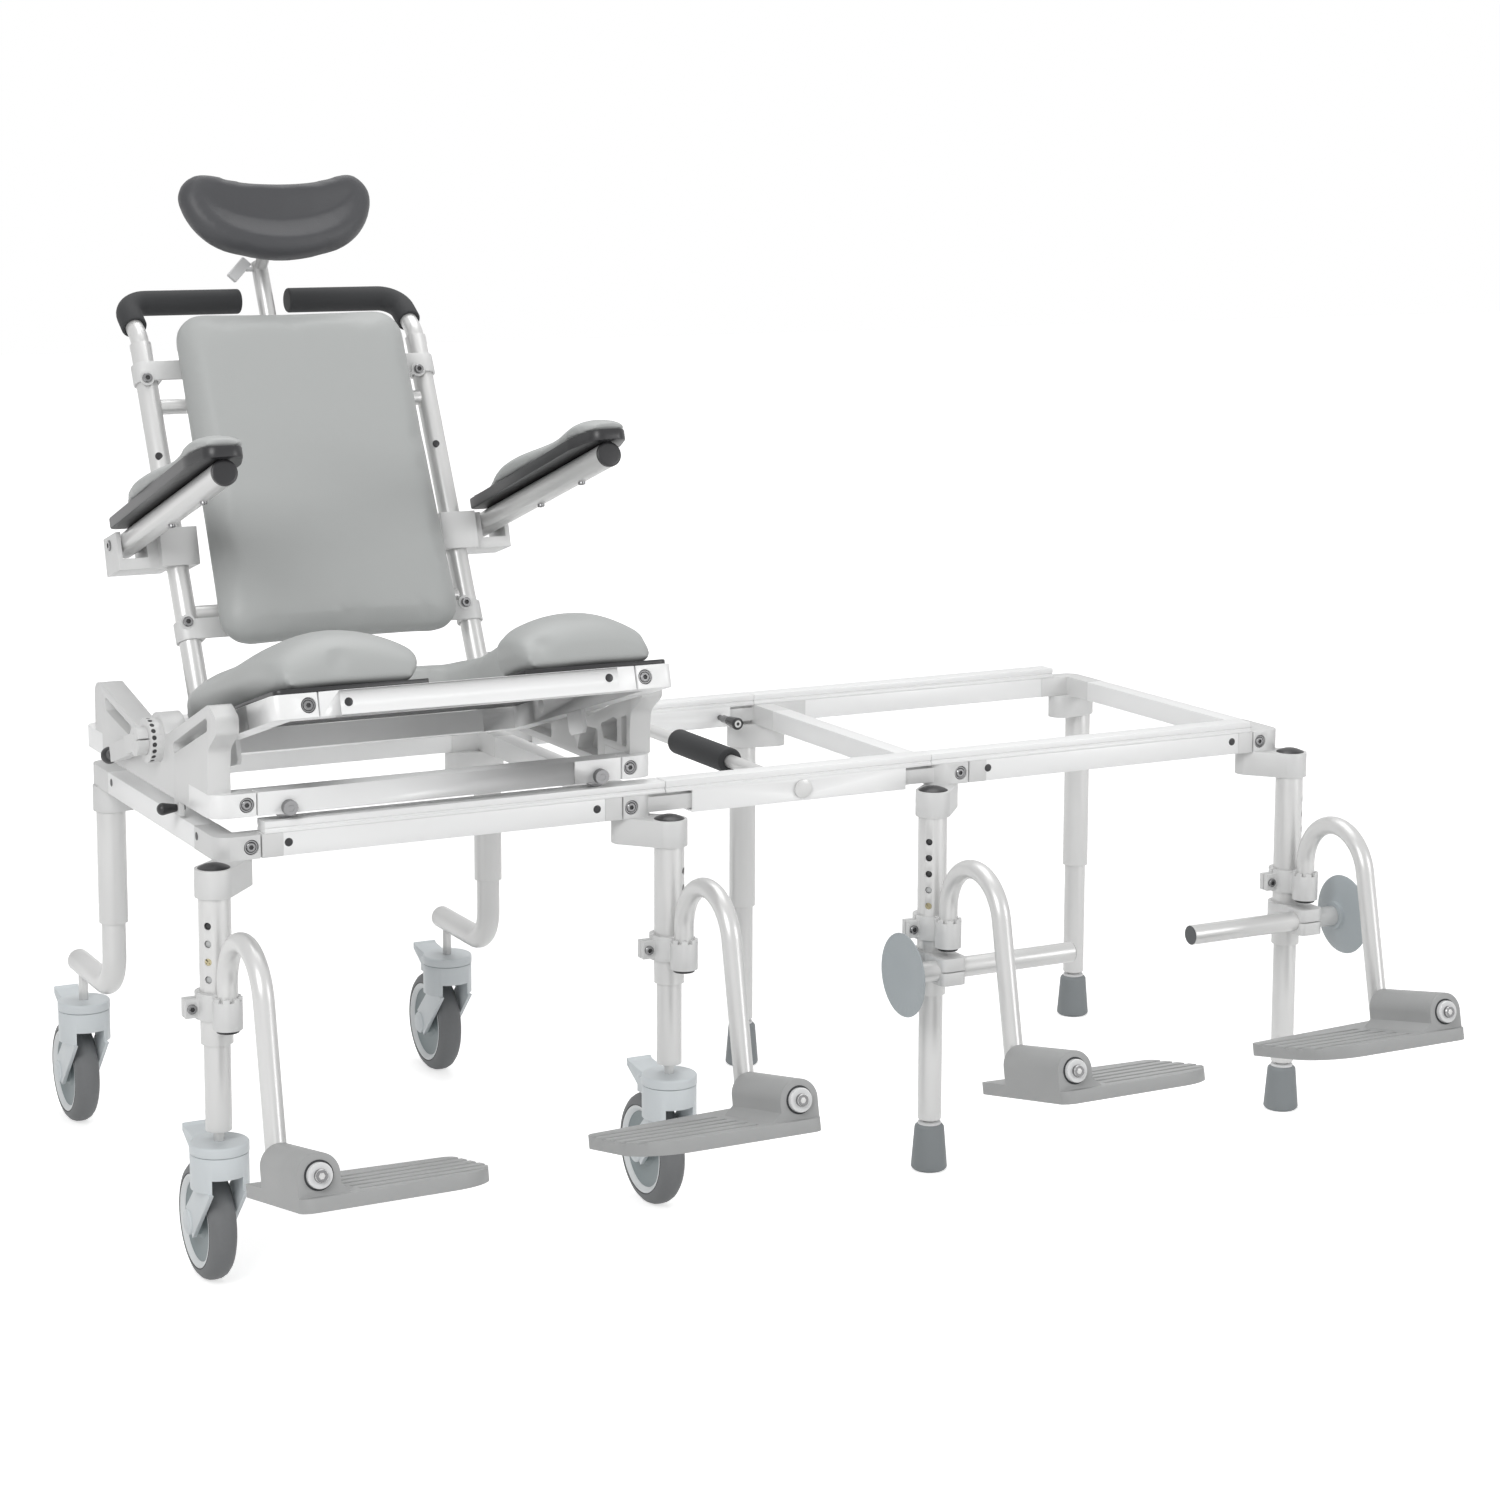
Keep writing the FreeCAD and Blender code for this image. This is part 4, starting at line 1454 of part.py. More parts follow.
def headrest():
    post = rod(head_point(HEAD_POST_BOTTOM), head_point(HEAD_POST_TOP), HEAD_POST_RADIUS)
    lever_at = head_point(HEAD_POST_TOP - LEVER_DROP)
    lever_x = CHAIR_MIDDLE - HEAD_POST_RADIUS
    lever_bore = rod(V(lever_x - OVERRUN, lever_at.y, lever_at.z),
                     V(lever_x + LEVER_SINK, lever_at.y, lever_at.z), LEVER_THICK / 2 + RUNNING)
    neck_end = V(CHAIR_MIDDLE, HEAD_PAD_V + HEAD_PAD_THICK + NECK_BALL_RADIUS - NECK_SINK,
                 HEAD_PAD_W - NECK_DROP)
    neck = rod(head_point(HEAD_POST_TOP - NECK_RADIUS), neck_end, NECK_RADIUS)
    ball = Part.makeSphere(NECK_BALL_RADIUS, neck_end)
    node("headrest_post", [seat_place(fuse([post, neck, ball]).cut(lever_bore))])
    wires = [kidney(scale, -share * HEAD_PAD_THICK) for share, scale in HEAD_PAD_SHARES]
    pad = Part.makeLoft(wires, True, False)
    pad.rotate(V(0, 0, 0), V(1, 0, 0), -HEAD_PAD_LEAN)
    pad.translate(V(CHAIR_MIDDLE, HEAD_PAD_V + HEAD_PAD_THICK, HEAD_PAD_W))
    pad = pad.cut(Part.makeSphere(NECK_BALL_RADIUS + SEAT_GAP, neck_end))
    node("headrest_pad", [seat_place(pad)])
    x0 = lever_x - SEAT_GAP
    pin = rod(V(x0 - LEVER_WIDTH / 2, lever_at.y, lever_at.z),
              V(lever_x + LEVER_SINK, lever_at.y, lever_at.z), LEVER_THICK / 2)
    paddle = box(x0 - LEVER_WIDTH, x0, lever_at.y - LEVER_THICK / 2, lever_at.y + LEVER_THICK / 2,
                 lever_at.z - LEVER_LENGTH, lever_at.z + LEVER_THICK)
    paddle = paddle.makeFillet(LEVER_THICK / 3, paddle.Edges)
    paddle.rotate(V(x0, lever_at.y, lever_at.z + LEVER_THICK), V(0, 1, 0), LEVER_LEAN)
    node("headrest_lever", [seat_place(fuse([pin, paddle]))])


# Armrests

def arm_mounts():
    mounts = []
    for side in (-1, 1):
        post_x = CHAIR_MIDDLE + side * POST_X
        arm_x = CHAIR_MIDDLE + side * ARM_X
        w = (MOUNT_BOTTOM + MOUNT_TOP) / 2
        outer = arm_x + side * (ARM_RADIUS + ARM_SIDE_PLAY + MOUNT_CHEEK)
        block = box(outer, post_x + side * POST_RADIUS / 2, MOUNT_FRONT, MOUNT_REAR, MOUNT_BOTTOM,
                    MOUNT_TOP)
        collar = box(post_x + side * MOUNT_HALF, post_x - side * MOUNT_HALF, post_v(w) - MOUNT_HALF,
                     post_v(w) + MOUNT_HALF, MOUNT_BOTTOM, MOUNT_TOP)
        room = box(arm_x - ARM_RADIUS - ARM_SIDE_PLAY, arm_x + ARM_RADIUS + ARM_SIDE_PLAY,
                   0, MOUNT_REAR + OVERRUN, ARM_PIVOT_W - ARM_RADIUS - ARM_TAIL / 2, MOUNT_TOP + OVERRUN)
        over = 2 * MOUNT_HALF
        tools = [room,
                 rod(V(post_x, post_v(MOUNT_BOTTOM - over), MOUNT_BOTTOM - over),
                     V(post_x, post_v(MOUNT_TOP + over), MOUNT_TOP + over), POST_RADIUS),
                 box(post_x - side * (MOUNT_HALF + OVERRUN), post_x - side * POST_RADIUS / 2,
                     post_v(w) - CLAMP_SPLIT / 2, post_v(w) + CLAMP_SPLIT / 2, MOUNT_BOTTOM - OVERRUN,
                     MOUNT_TOP + OVERRUN)]
        body = cut(fuse([block, collar]), tools)
        pin_end = arm_x - side * (ARM_RADIUS + ARM_PIN_OVERHANG)
        pin = rod(V(outer, ARM_PIVOT_V, ARM_PIVOT_W), V(pin_end, ARM_PIVOT_V, ARM_PIVOT_W),
                  ARM_PIN_RADIUS)
        mounts.append(seat_place(fuse([body, pin])))
    node("arm_mounts", mounts)


def armrests():
    pivot = V(0, ARM_PIVOT_V, ARM_PIVOT_W)
    front = V(0, ARM_FRONT_V, ARM_FRONT_W)
    along = front.sub(pivot).normalize()
    length = front.sub(pivot).Length
    slope = math.degrees(math.atan2(along.z, -along.y))
    for side, name in ((-1, "left"), (1, "right")):
        x = CHAIR_MIDDLE + side * ARM_X
        tail = pivot.sub(V(along).multiply(ARM_TAIL)).add(V(x, 0, 0))
        tip = front.add(V(x, 0, 0))
        tube = pipe(tail, tip, ARM_RADIUS, ARM_WALL)
        hub = rod(V(x - ARM_RADIUS + ARM_WALL / 2, ARM_PIVOT_V, ARM_PIVOT_W),
                  V(x + ARM_RADIUS - ARM_WALL / 2, ARM_PIVOT_V, ARM_PIVOT_W), 2 * ARM_PIN_RADIUS)
        bore = rod(V(x - 2 * ARM_RADIUS, ARM_PIVOT_V, ARM_PIVOT_W),
                   V(x + 2 * ARM_RADIUS, ARM_PIVOT_V, ARM_PIVOT_W), ARM_PIN_RADIUS + RUNNING)
        cap = rod(tip, tip.add(V(along).multiply(ARM_CAP)), ARM_RADIUS)
        node("arm_tube_" + name, [seat_place(fuse([tube, hub]).cut(bore)), seat_place(cap)])
        near, start, end = TRAY_FRONT_HALF, TRAY_OVERHANG, TRAY_LENGTH - TRAY_OVERHANG
        outline = [(x - TRAY_BACK_HALF, end), (x + TRAY_BACK_HALF, end), (x + near, near),
                   (x + TRAY_TIP_HALF, -start), (x - TRAY_TIP_HALF, -start), (x - near, near)]
        tray = prism_z(outline, ARM_RADIUS, ARM_RADIUS + TRAY_THICK,
                       [TRAY_CORNER, TRAY_CORNER, 2 * near, TRAY_TIP_CORNER, TRAY_TIP_CORNER, 2 * near])
        pad_low = ARM_RADIUS + TRAY_THICK
        spans = [(a * TRAY_LENGTH - start, x - h * near, x + h * near, pad_low + SEAT_GAP,
                  pad_low + t * ARM_PAD_THICK) for a, h, t in ARM_PAD_SHARES]
        pad = crowned("v", spans)
        pieces = []
        for shape in (tray, pad):
            shape.rotate(V(x, 0, 0), V(1, 0, 0), -slope)
            shape.translate(V(0, front.y, front.z))
            pieces.append(seat_place(shape))
        node("arm_pad_" + name, pieces)


def build():
    chair_base()
    chair_inner_legs()
    casters()
    footrests()
    tub_base()
    bridge()
    latches()
    carriage()
    seat_frame()
    tilt_shafts()
    seat_pad()
    seat_pan()
    back_frame()
    back_cushion()
    back_clips()
    headrest()
    arm_mounts()
    armrests()


def write_parts():
    os.makedirs("parts", exist_ok=True)
    for name, solids in NODES.items():
        shape = solids[0] if len(solids) == 1 else Part.makeCompound(solids)
        shape = shape.copy()
        shape.translate(V(-ORIGIN_X, -ORIGIN_Y, -FLOOR_Z))
        shape.exportStep("parts/" + name + ".step")
        low, high = shape.BoundBox, shape.BoundBox
        print("%-28s %2d  X %.1f %.1f  Y %.1f %.1f  Z %.1f %.1f" % (
            name, len(shape.Solids), low.XMin, high.XMax, low.YMin, high.YMax, low.ZMin, high.ZMax))


build()
write_parts()
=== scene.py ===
import json
import math

import bmesh
import bpy
from mathutils import Matrix, Vector


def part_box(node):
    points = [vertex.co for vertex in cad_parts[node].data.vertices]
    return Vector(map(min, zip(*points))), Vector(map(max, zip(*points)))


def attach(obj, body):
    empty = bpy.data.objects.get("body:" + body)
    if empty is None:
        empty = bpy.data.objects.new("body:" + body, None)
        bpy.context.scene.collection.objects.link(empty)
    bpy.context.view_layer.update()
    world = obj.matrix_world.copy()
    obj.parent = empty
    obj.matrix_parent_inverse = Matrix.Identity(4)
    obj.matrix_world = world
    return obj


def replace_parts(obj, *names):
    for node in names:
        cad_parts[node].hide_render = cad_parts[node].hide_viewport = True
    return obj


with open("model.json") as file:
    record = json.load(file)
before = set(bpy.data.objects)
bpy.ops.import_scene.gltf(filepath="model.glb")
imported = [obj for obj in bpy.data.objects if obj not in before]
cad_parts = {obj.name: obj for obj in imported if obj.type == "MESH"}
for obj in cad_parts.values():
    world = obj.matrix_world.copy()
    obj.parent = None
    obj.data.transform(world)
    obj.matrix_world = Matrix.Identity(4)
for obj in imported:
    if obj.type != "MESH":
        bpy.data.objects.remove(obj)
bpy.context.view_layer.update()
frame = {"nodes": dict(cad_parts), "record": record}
parts = frame["nodes"]

# The photographer's view.
# A long lens 1.2 m above the floor, turned to the right and a little down. It is shifted by about
# an eighth of the frame, which keeps the legs upright as they are in the picture.
eye = Vector((-1.7017, -3.27545, 1.2073))
turn, down, roll = (math.radians(angle) for angle in (27.776, 7.813, 0.199))
ahead = Vector((math.sin(turn) * math.cos(down), math.cos(turn) * math.cos(down),
                -math.sin(down)))
level = Vector((math.cos(turn), -math.sin(turn), 0.0))
above = level.cross(ahead)
right = level * math.cos(roll) + above * math.sin(roll)
above = above * math.cos(roll) - level * math.sin(roll)
camera = bpy.data.objects.new("photo_camera", bpy.data.cameras.new("photo_camera"))
bpy.context.scene.collection.objects.link(camera)
bpy.context.scene.camera = camera
facing = Matrix((right, above, -ahead)).transposed()
camera.matrix_world = Matrix.Translation(eye) @ facing.to_4x4()
camera.data.sensor_width = 36.0
camera.data.lens = 75.59
camera.data.shift_y = -0.12
bpy.context.scene.view_settings.view_transform = "Standard"


# The studio floor and its light.
# A white sweep that burns out to paper white in the picture and only keeps the soft shadows
# under the wheels and feet. Large soft boxes stand left and right, another hangs above.
class Recipe:
    """A tree of nodes that is put together step by step."""

    def make(self, kind, settings=(), sockets=()):
        node = self.tree.nodes.new(kind)
        for setting, value in dict(settings).items():
            setattr(node, setting, value)
        for place, value in dict(sockets).items():
            self.feed(node.inputs[place], value)
        return node

    def feed(self, place, value):
        value = getattr(value, "socket", value)
        if isinstance(value, bpy.types.NodeSocket):
            self.tree.links.new(value, place)
        else:
            place.default_value = value


class Amount:
    """A socket that adds and multiplies like a number."""

    def __init__(self, recipe, socket):
        self.recipe, self.socket = recipe, socket

    def maths(self, operation, *terms):
        node = self.recipe.make("ShaderNodeMath", {"operation": operation}, dict(enumerate(terms)))
        return Amount(self.recipe, node.outputs[0])

    def __add__(self, other):
        return self.maths("ADD", self, other)

    def __radd__(self, other):
        return self.maths("ADD", other, self)

    def __mul__(self, other):
        return self.maths("MULTIPLY", self, other)

    def __rmul__(self, other):
        return self.maths("MULTIPLY", other, self)

    def __truediv__(self, other):
        return self.maths("DIVIDE", self, other)

    def __rtruediv__(self, other):
        return self.maths("DIVIDE", other, self)

    def between(self, low, high):
        """Rises smoothly from 0 at low to 1 at high."""
        node = self.recipe.make("ShaderNodeMapRange", {"interpolation_type": "SMOOTHSTEP"},
                                {"Value": self, "From Min": low, "From Max": high})
        return Amount(self.recipe, node.outputs["Result"])


class Finish(Recipe):
    """A surface finish of the chair, written as a material."""

    def __init__(self, name, colour, roughness, metallic=0.0):
        self.material = bpy.data.materials.new(name)
        self.material.use_nodes = True
        self.tree = self.material.node_tree
        self.shader = self.tree.nodes["Principled BSDF"]
        self.colour = colour
        self.material.diffuse_color = (*colour, 1.0)
        for socket, value in (("Base Color", (*colour, 1.0)), ("Roughness", roughness),
                              ("Metallic", metallic)):
            self.shader.inputs[socket].default_value = value

    def noise(self, size, detail=2.0):
        """Cloudy noise from 0 to 1 whose blots are about size metres across."""
        where = self.make("ShaderNodeTexCoord")
        node = self.make("ShaderNodeTexNoise", {}, {
            "Vector": where.outputs["Object"], "Scale": 1.0 / size, "Detail": detail})
        return Amount(self, node.outputs["Fac"])

    def pebbles(self, size):
        """The distance to the middle of the nearest grain, about 0 to 1."""
        where = self.make("ShaderNodeTexCoord")
        node = self.make("ShaderNodeTexVoronoi", {"feature": "SMOOTH_F1"}, {
            "Vector": where.outputs["Object"], "Scale": 1.0 / size, "Smoothness": 0.4})
        return Amount(self, node.outputs["Distance"])

    def axis(self, name):
        """One of the piece's own coordinates, in metres."""
        where = self.make("ShaderNodeTexCoord")
        split = self.make("ShaderNodeSeparateXYZ", {}, {0: where.outputs["Object"]})
        return Amount(self, split.outputs[name])

    def tint(self, share, other):
        """Colour that runs from the plain one to another as the share goes from 0 to 1."""
        mix = self.make("ShaderNodeMix", {"data_type": "RGBA"},
                        {0: share, 6: (*self.colour, 1.0), 7: (*other, 1.0)})
        self.feed(self.shader.inputs["Base Color"], mix.outputs[2])

    def rough(self, amount):
        self.feed(self.shader.inputs["Roughness"], amount)

    def relief(self, height, depth):
        """Raises the surface by up to depth metres."""
        bump = self.make("ShaderNodeBump", {}, {"Height": height, "Distance": depth})
        self.feed(self.shader.inputs["Normal"], bump.outputs[0])

    def grained(self, size, depth, detail=2.0):
        """The finish with an even grain of its own."""
        self.relief(self.noise(size, detail), depth)
        return self


def shown_share(recipe):
    """1 for what the lens sees, also in a reflection or through glass."""
    path = recipe.make("ShaderNodeLightPath")
    total = Amount(recipe, path.outputs["Is Camera Ray"])
    for ray in ("Is Glossy Ray", "Is Transmission Ray"):
        total = total.maths("MAXIMUM", total, path.outputs[ray])
    return total


paper = Finish("paper_sweep", (0.86, 0.86, 0.86), 0.9)
paper.tint(paper.noise(0.9), (0.87, 0.87, 0.865))
paper.shader.inputs["Emission Color"].default_value = (1.0, 1.0, 1.0, 1.0)
away = (paper.axis("X") * paper.axis("X") + paper.axis("Y") * paper.axis("Y")).between(1.0, 9.0)
paper.feed(paper.shader.inputs["Emission Strength"], shown_share(paper) * (away * 0.35 + 0.60))
half_width = 14.0
floor = bpy.data.meshes.new("studio_floor")
floor_corners = [(half_width * x, half_width * y, 0.0)
                 for x, y in ((-1, -1), (1, -1), (1, 1), (-1, 1))]
floor.from_pydata(floor_corners, [], [(0, 1, 2, 3)])
floor = bpy.data.objects.new("studio_floor", floor)
bpy.context.scene.collection.objects.link(floor)
floor.data.materials.append(paper.material)

air = Recipe()
bpy.context.scene.world = bpy.data.worlds.new("studio_air")
bpy.context.scene.world.use_nodes = True
air.tree = bpy.context.scene.world.node_tree
ambient = air.tree.nodes["Background"]
ambient.inputs["Color"].default_value = (1.0, 1.0, 1.0, 1.0)
air.feed(ambient.inputs["Strength"], shown_share(air) * 0.68 + 0.32)

for name, place, width, power in (("soft_box_left", (-2.6, -2.2, 2.4), 1.5, 54.0),
                                  ("soft_box_right", (2.4, -3.2, 1.6), 1.4, 32.0),
                                  ("soft_box_above", (0.2, 0.6, 3.2), 2.2, 37.0)):
    lamp = bpy.data.lights.new(name, "AREA")
    lamp.size = width
    lamp.energy = power
    lamp = bpy.data.objects.new(name, lamp)
    lamp.location = place
    aim = Vector((0.0, 0.0, 0.5)) - lamp.location
    lamp.rotation_euler = aim.to_track_quat("-Z", "Y").to_euler()
    bpy.context.scene.collection.objects.link(lamp)


# Rails and tracks.
# Square aluminium extrusion, satin anodised, with a low track strip pressed on top. The
# carriage and the seat frame are cut from the same bar.
slot_of = {row["node"]: row["material_slot"] for row in frame["record"]["subparts"]}
body_of = {node: body for body, nodes in frame["record"]["behaviour"]["bodies"].items()
           for node in nodes}
sharp_edge = 34.0


def shown(name, mesh, finish, body, crease=sharp_edge):
    """Puts a finished mesh into the scene, on its body."""
    mesh.name = name
    mesh.materials.clear()
    mesh.materials.append(finish.material)
    mesh.shade_smooth()
    mesh.set_sharp_from_angle(angle=math.radians(crease))
    piece = bpy.data.objects.new(name, mesh)
    bpy.context.scene.collection.objects.link(piece)
    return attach(piece, body)


def merged(node, keep=None):
    """The merged faces of a CAD piece, or of the solids of it that keep picks by their box."""
    bm = bmesh.new()
    bm.from_mesh(parts[node].data)
    bmesh.ops.remove_doubles(bm, verts=bm.verts, dist=2e-6)
    if keep:
        left, drop = set(bm.verts), []
        while left:
            island, edge = set(), [left.pop()]
            while edge:
                vert = edge.pop()
                island.add(vert)
                linked = {e.other_vert(vert) for e in vert.link_edges} & left
                left -= linked
                edge += linked
            low = Vector(min(v.co[i] for v in island) for i in range(3))
            high = Vector(max(v.co[i] for v in island) for i in range(3))
            if not keep(low, high):
                drop += island
        bmesh.ops.delete(bm, geom=drop, context="VERTS")
    return bm


def plain(bm):
    """A mesh of the faces, with flat areas joined and no stored normals."""
    bmesh.ops.dissolve_limit(bm, angle_limit=math.radians(0.4), verts=bm.verts, edges=bm.edges)
    mesh = bpy.data.meshes.new("plain")
    bm.to_mesh(mesh)
    bm.free()
    if "custom_normal" in mesh.attributes:
        mesh.attributes.remove(mesh.attributes["custom_normal"])
    return mesh


def evaluated(piece):
    """The piece's mesh with its modifiers applied."""
    piece.update_tag()
    bpy.context.view_layer.update()
    graph = bpy.context.evaluated_depsgraph_get()
    return bpy.data.meshes.new_from_object(piece.evaluated_get(graph))


def worked(mesh, kind, **settings):
    """The mesh after one modifier."""
    piece = bpy.data.objects.new("blank", mesh)
    bpy.context.scene.collection.objects.link(piece)
    step = piece.modifiers.new("step", kind)
    for setting, value in settings.items():
        setattr(step, setting, value)
    mesh = evaluated(piece)
    bpy.data.objects.remove(piece)
    return mesh


def machined(node, finish, width=0.0007, keep=None, name=None):
    """Shows a CAD piece as a merged copy with rounded edges."""
    mesh = worked(plain(merged(node, keep)), "BEVEL", width=width, segments=2,
                  limit_method="ANGLE", angle_limit=math.radians(sharp_edge))
    piece = shown(name or node + "_skin", mesh, finish, body_of[node])
    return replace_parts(piece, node)


extrusion = Finish("satin_extrusion", (0.90, 0.905, 0.905), 0.40, 0.1)
grain = extrusion.noise(0.0009)
extrusion.rough(0.36 + grain * 0.10)
extrusion.tint(extrusion.noise(0.05), (0.92, 0.922, 0.922))
extrusion.relief(grain, 0.00001)
for node in ("chair_rails", "tub_rails", "bridge_rails", "carriage_frame", "seat_frame"):
    machined(node, extrusion, 0.0008)

# Cast corners, leg arms, clamps and tilt brackets.
# Fine-grained aluminium castings, shot blasted and clear anodised, a little greyer and duller
# than the rails that they hold.
casting = Finish("blasted_casting", (0.70, 0.703, 0.70), 0.48, 0.1)
grain = casting.noise(0.0008)
casting.rough(0.40 + grain * 0.14)
casting.tint(casting.noise(0.03), (0.74, 0.742, 0.74))
casting.relief(grain, 0.00003)
for node in ("chair_corner_castings", "tub_corner_castings", "tilt_brackets", "tilt_shafts",
             "chair_footrest_clamps", "tub_leg_clamps", "back_clips", "arm_mounts"):
    machined(node, casting, 0.0009)

# Screws, cover dots and height buttons.
# Steel socket screws sit in the round pockets of the castings and small black plugs cover the
# rail fixings. Each row of height holes in a leg holds plugs and one sprung brass button.
class Growth(Recipe):
    """A set of equal small parts that stands on points and faces where each point says."""

    def __init__(self, name, sizes):
        self.tree = bpy.data.node_groups.new(name, "GeometryNodeTree")
        face = self.tree.interface
        face.new_socket("Spots", in_out="INPUT", socket_type="NodeSocketGeometry")
        face.new_socket("Finish", in_out="INPUT", socket_type="NodeSocketMaterial")
        for size in sizes:
            face.new_socket(size, in_out="INPUT", socket_type="NodeSocketFloat")
        face.new_socket("Grown", in_out="OUTPUT", socket_type="NodeSocketGeometry")
        self.given = self.make("NodeGroupInput").outputs

    def size(self, name):
        return Amount(self, self.given[name])

    def solid(self, kind, lift=0.0, **sockets):
        """A primitive whose foot stands lift above the point."""
        body = self.make(kind, {}, sockets)
        shift = self.make("ShaderNodeCombineXYZ", {}, {"Z": lift})
        return self.make("GeometryNodeTransform", {}, {"Geometry": body.outputs[0],
                                                       "Translation": shift.outputs[0]}).outputs[0]

    def joined(self, operation, first, second):
        node = self.make("GeometryNodeMeshBoolean", {"operation": operation})
        self.feed(node.inputs["Mesh 1" if operation == "DIFFERENCE" else "Mesh 2"], first)
        self.feed(node.inputs["Mesh 2"], second)
        return node.outputs[0]

    def grow(self, shape):
        facing = self.make("GeometryNodeInputNamedAttribute", {"data_type": "FLOAT_VECTOR"},
                           {"Name": "facing"})
        turned_to = self.make("FunctionNodeAlignRotationToVector", {"axis": "Z"},
                              {"Vector": facing.outputs["Attribute"]})
        spread = self.make("GeometryNodeInstanceOnPoints", {}, {
            "Points": self.given["Spots"], "Instance": shape, "Rotation": turned_to.outputs[0]})
        real = self.make("GeometryNodeRealizeInstances", {}, {0: spread.outputs[0]})
        coat = self.make("GeometryNodeSetMaterial", {}, {"Geometry": real.outputs[0],
                                                         "Material": self.given["Finish"]})
        self.make("NodeGroupOutput", {}, {0: coat.outputs[0]})


def scattered(name, growth, spots, finish, body, slot, **sizes):
    """Grows a tree's part on spots, given as place and facing, and keeps it as a plain mesh."""
    mesh = bpy.data.meshes.new(name)
    mesh.from_pydata([place for place, _ in spots], [], [])
    facing = mesh.attributes.new("facing", "FLOAT_VECTOR", "POINT")
    for row, (_, way) in zip(facing.data, spots):
        row.vector = way
    piece = bpy.data.objects.new(name, mesh)
    bpy.context.scene.collection.objects.link(piece)
    step = piece.modifiers.new("growth", "NODES")
    step.node_group = growth.tree
    for item in growth.tree.interface.items_tree:
        if item.name in sizes:
            step[item.identifier] = sizes[item.name]
        if item.name == "Finish":
            step[item.identifier] = finish.material
    mesh = evaluated(piece)
    bpy.data.objects.remove(piece)
    return shown(name, mesh, finish, body, 28.0)


def spot(x, y, z):
    """A place written in millimetres from the near left leg of the wheeled base."""
    return Vector(((x - 705.0) / 1000, (y - 192.55) / 1000, (z + 9.5) / 1000))


tilt, hinge_y, hinge_z = 16.0, 199.0, 547.0


def lean(v, w):
    """A direction in the tilted seat: v back along it, w up from it."""
    angle = math.radians(tilt)
    return Vector((0.0, v * math.cos(angle) + w * math.sin(angle),
                   w * math.cos(angle) - v * math.sin(angle)))


def on_seat(x, v, w):
    """A place written in the tilted seat's own millimetres."""
    return spot(x, hinge_y, hinge_z) + lean(v, w) / 1000


def post_line(w):
    """How far back the middle of the back posts stands at a height over the seat frame."""
    return 95.0 + (w - 8.6) * math.tan(math.radians(10.7))


front, behind, up = Vector((0, -1, 0)), Vector((0, 1, 0)), Vector((0, 0, 1))
to_left, to_right = Vector((-1, 0, 0)), Vector((1, 0, 0))
leg_x = {"chair": (0.0, 526.5), "tub": (869.0, 1384.5)}
cast_faces = ((20.0, front), (483.4, behind))

screws = Growth("socket_screw", ("Radius", "Height"))
radius, height = screws.size("Radius"), screws.size("Height")
shank = screws.solid("GeometryNodeMeshCylinder", height * 0.35, Vertices=32, Radius=radius,
                     Depth=height * 0.7)
collar = screws.solid("GeometryNodeMeshCone", height * 0.68, **{
    "Vertices": 32, "Radius Top": radius * 0.84, "Radius Bottom": radius, "Depth": height * 0.32})
socket = screws.solid("GeometryNodeMeshCylinder", height * 0.85, Vertices=6,
                      Radius=radius * 0.52, Depth=height)
screws.grow(screws.joined("DIFFERENCE", screws.joined("UNION", shank, collar), socket))

rings = Growth("pocket_ring", ("Radius", "Bore", "Height"))
radius, height = rings.size("Radius"), rings.size("Height")
washer = rings.solid("GeometryNodeMeshCylinder", height * 0.5, Vertices=40, Radius=radius,
                     Depth=height)
bore = rings.solid("GeometryNodeMeshCylinder", height * 0.5, Vertices=40,
                   Radius=rings.size("Bore"), Depth=height * 3.0)
rings.grow(rings.joined("DIFFERENCE", washer, bore))

dots = Growth("cover_dot", ("Radius", "Rise"))
dome = dots.make("GeometryNodeMeshUVSphere", {}, {
    "Segments": 20, "Rings": 10, "Radius": dots.size("Radius")})
squeeze = dots.make("ShaderNodeCombineXYZ", {}, {
    "X": 1.0, "Y": 1.0, "Z": dots.size("Rise") / dots.size("Radius")})
low_dome = dots.make("GeometryNodeTransform", {}, {
    "Geometry": dome.outputs[0], "Scale": squeeze.outputs[0]})
dots.grow(low_dome.outputs[0])

buttons = Growth("slotted_button", ("Radius", "Height"))
radius, height = buttons.size("Radius"), buttons.size("Height")
disc = buttons.solid("GeometryNodeMeshCylinder", height * 0.5, Vertices=24, Radius=radius,
                     Depth=height)
for across, along in ((2.4, 0.34), (0.34, 2.4)):
    span = buttons.make("ShaderNodeCombineXYZ", {}, {
        "X": radius * across, "Y": radius * along, "Z": height})
    slit = buttons.solid("GeometryNodeMeshCube", height * 1.1, Size=span.outputs[0])
    disc = buttons.joined("DIFFERENCE", disc, slit)
buttons.grow(disc)

knurls = Growth("knurled_head", ("Radius", "Height"))
radius, height = knurls.size("Radius"), knurls.size("Height")
rough_bar = knurls.solid("GeometryNodeMeshCylinder", height * 0.5, Vertices=56, Radius=radius,
                         Depth=height)
parity = Amount(knurls, knurls.make("GeometryNodeInputIndex").outputs[0]).maths(
    "MODULO", knurls.make("GeometryNodeInputIndex").outputs[0], 2.0)
flat = knurls.make("ShaderNodeVectorMath", {"operation": "MULTIPLY"}, {
    0: knurls.make("GeometryNodeInputPosition").outputs[0], 1: (1.0, 1.0, 0.0)})
tooth = knurls.make("ShaderNodeVectorMath", {"operation": "SCALE"}, {
    0: flat.outputs[0], "Scale": parity * -0.09})
cut_bar = knurls.make("GeometryNodeSetPosition", {}, {
    "Geometry": rough_bar, "Offset": tooth.outputs[0]})
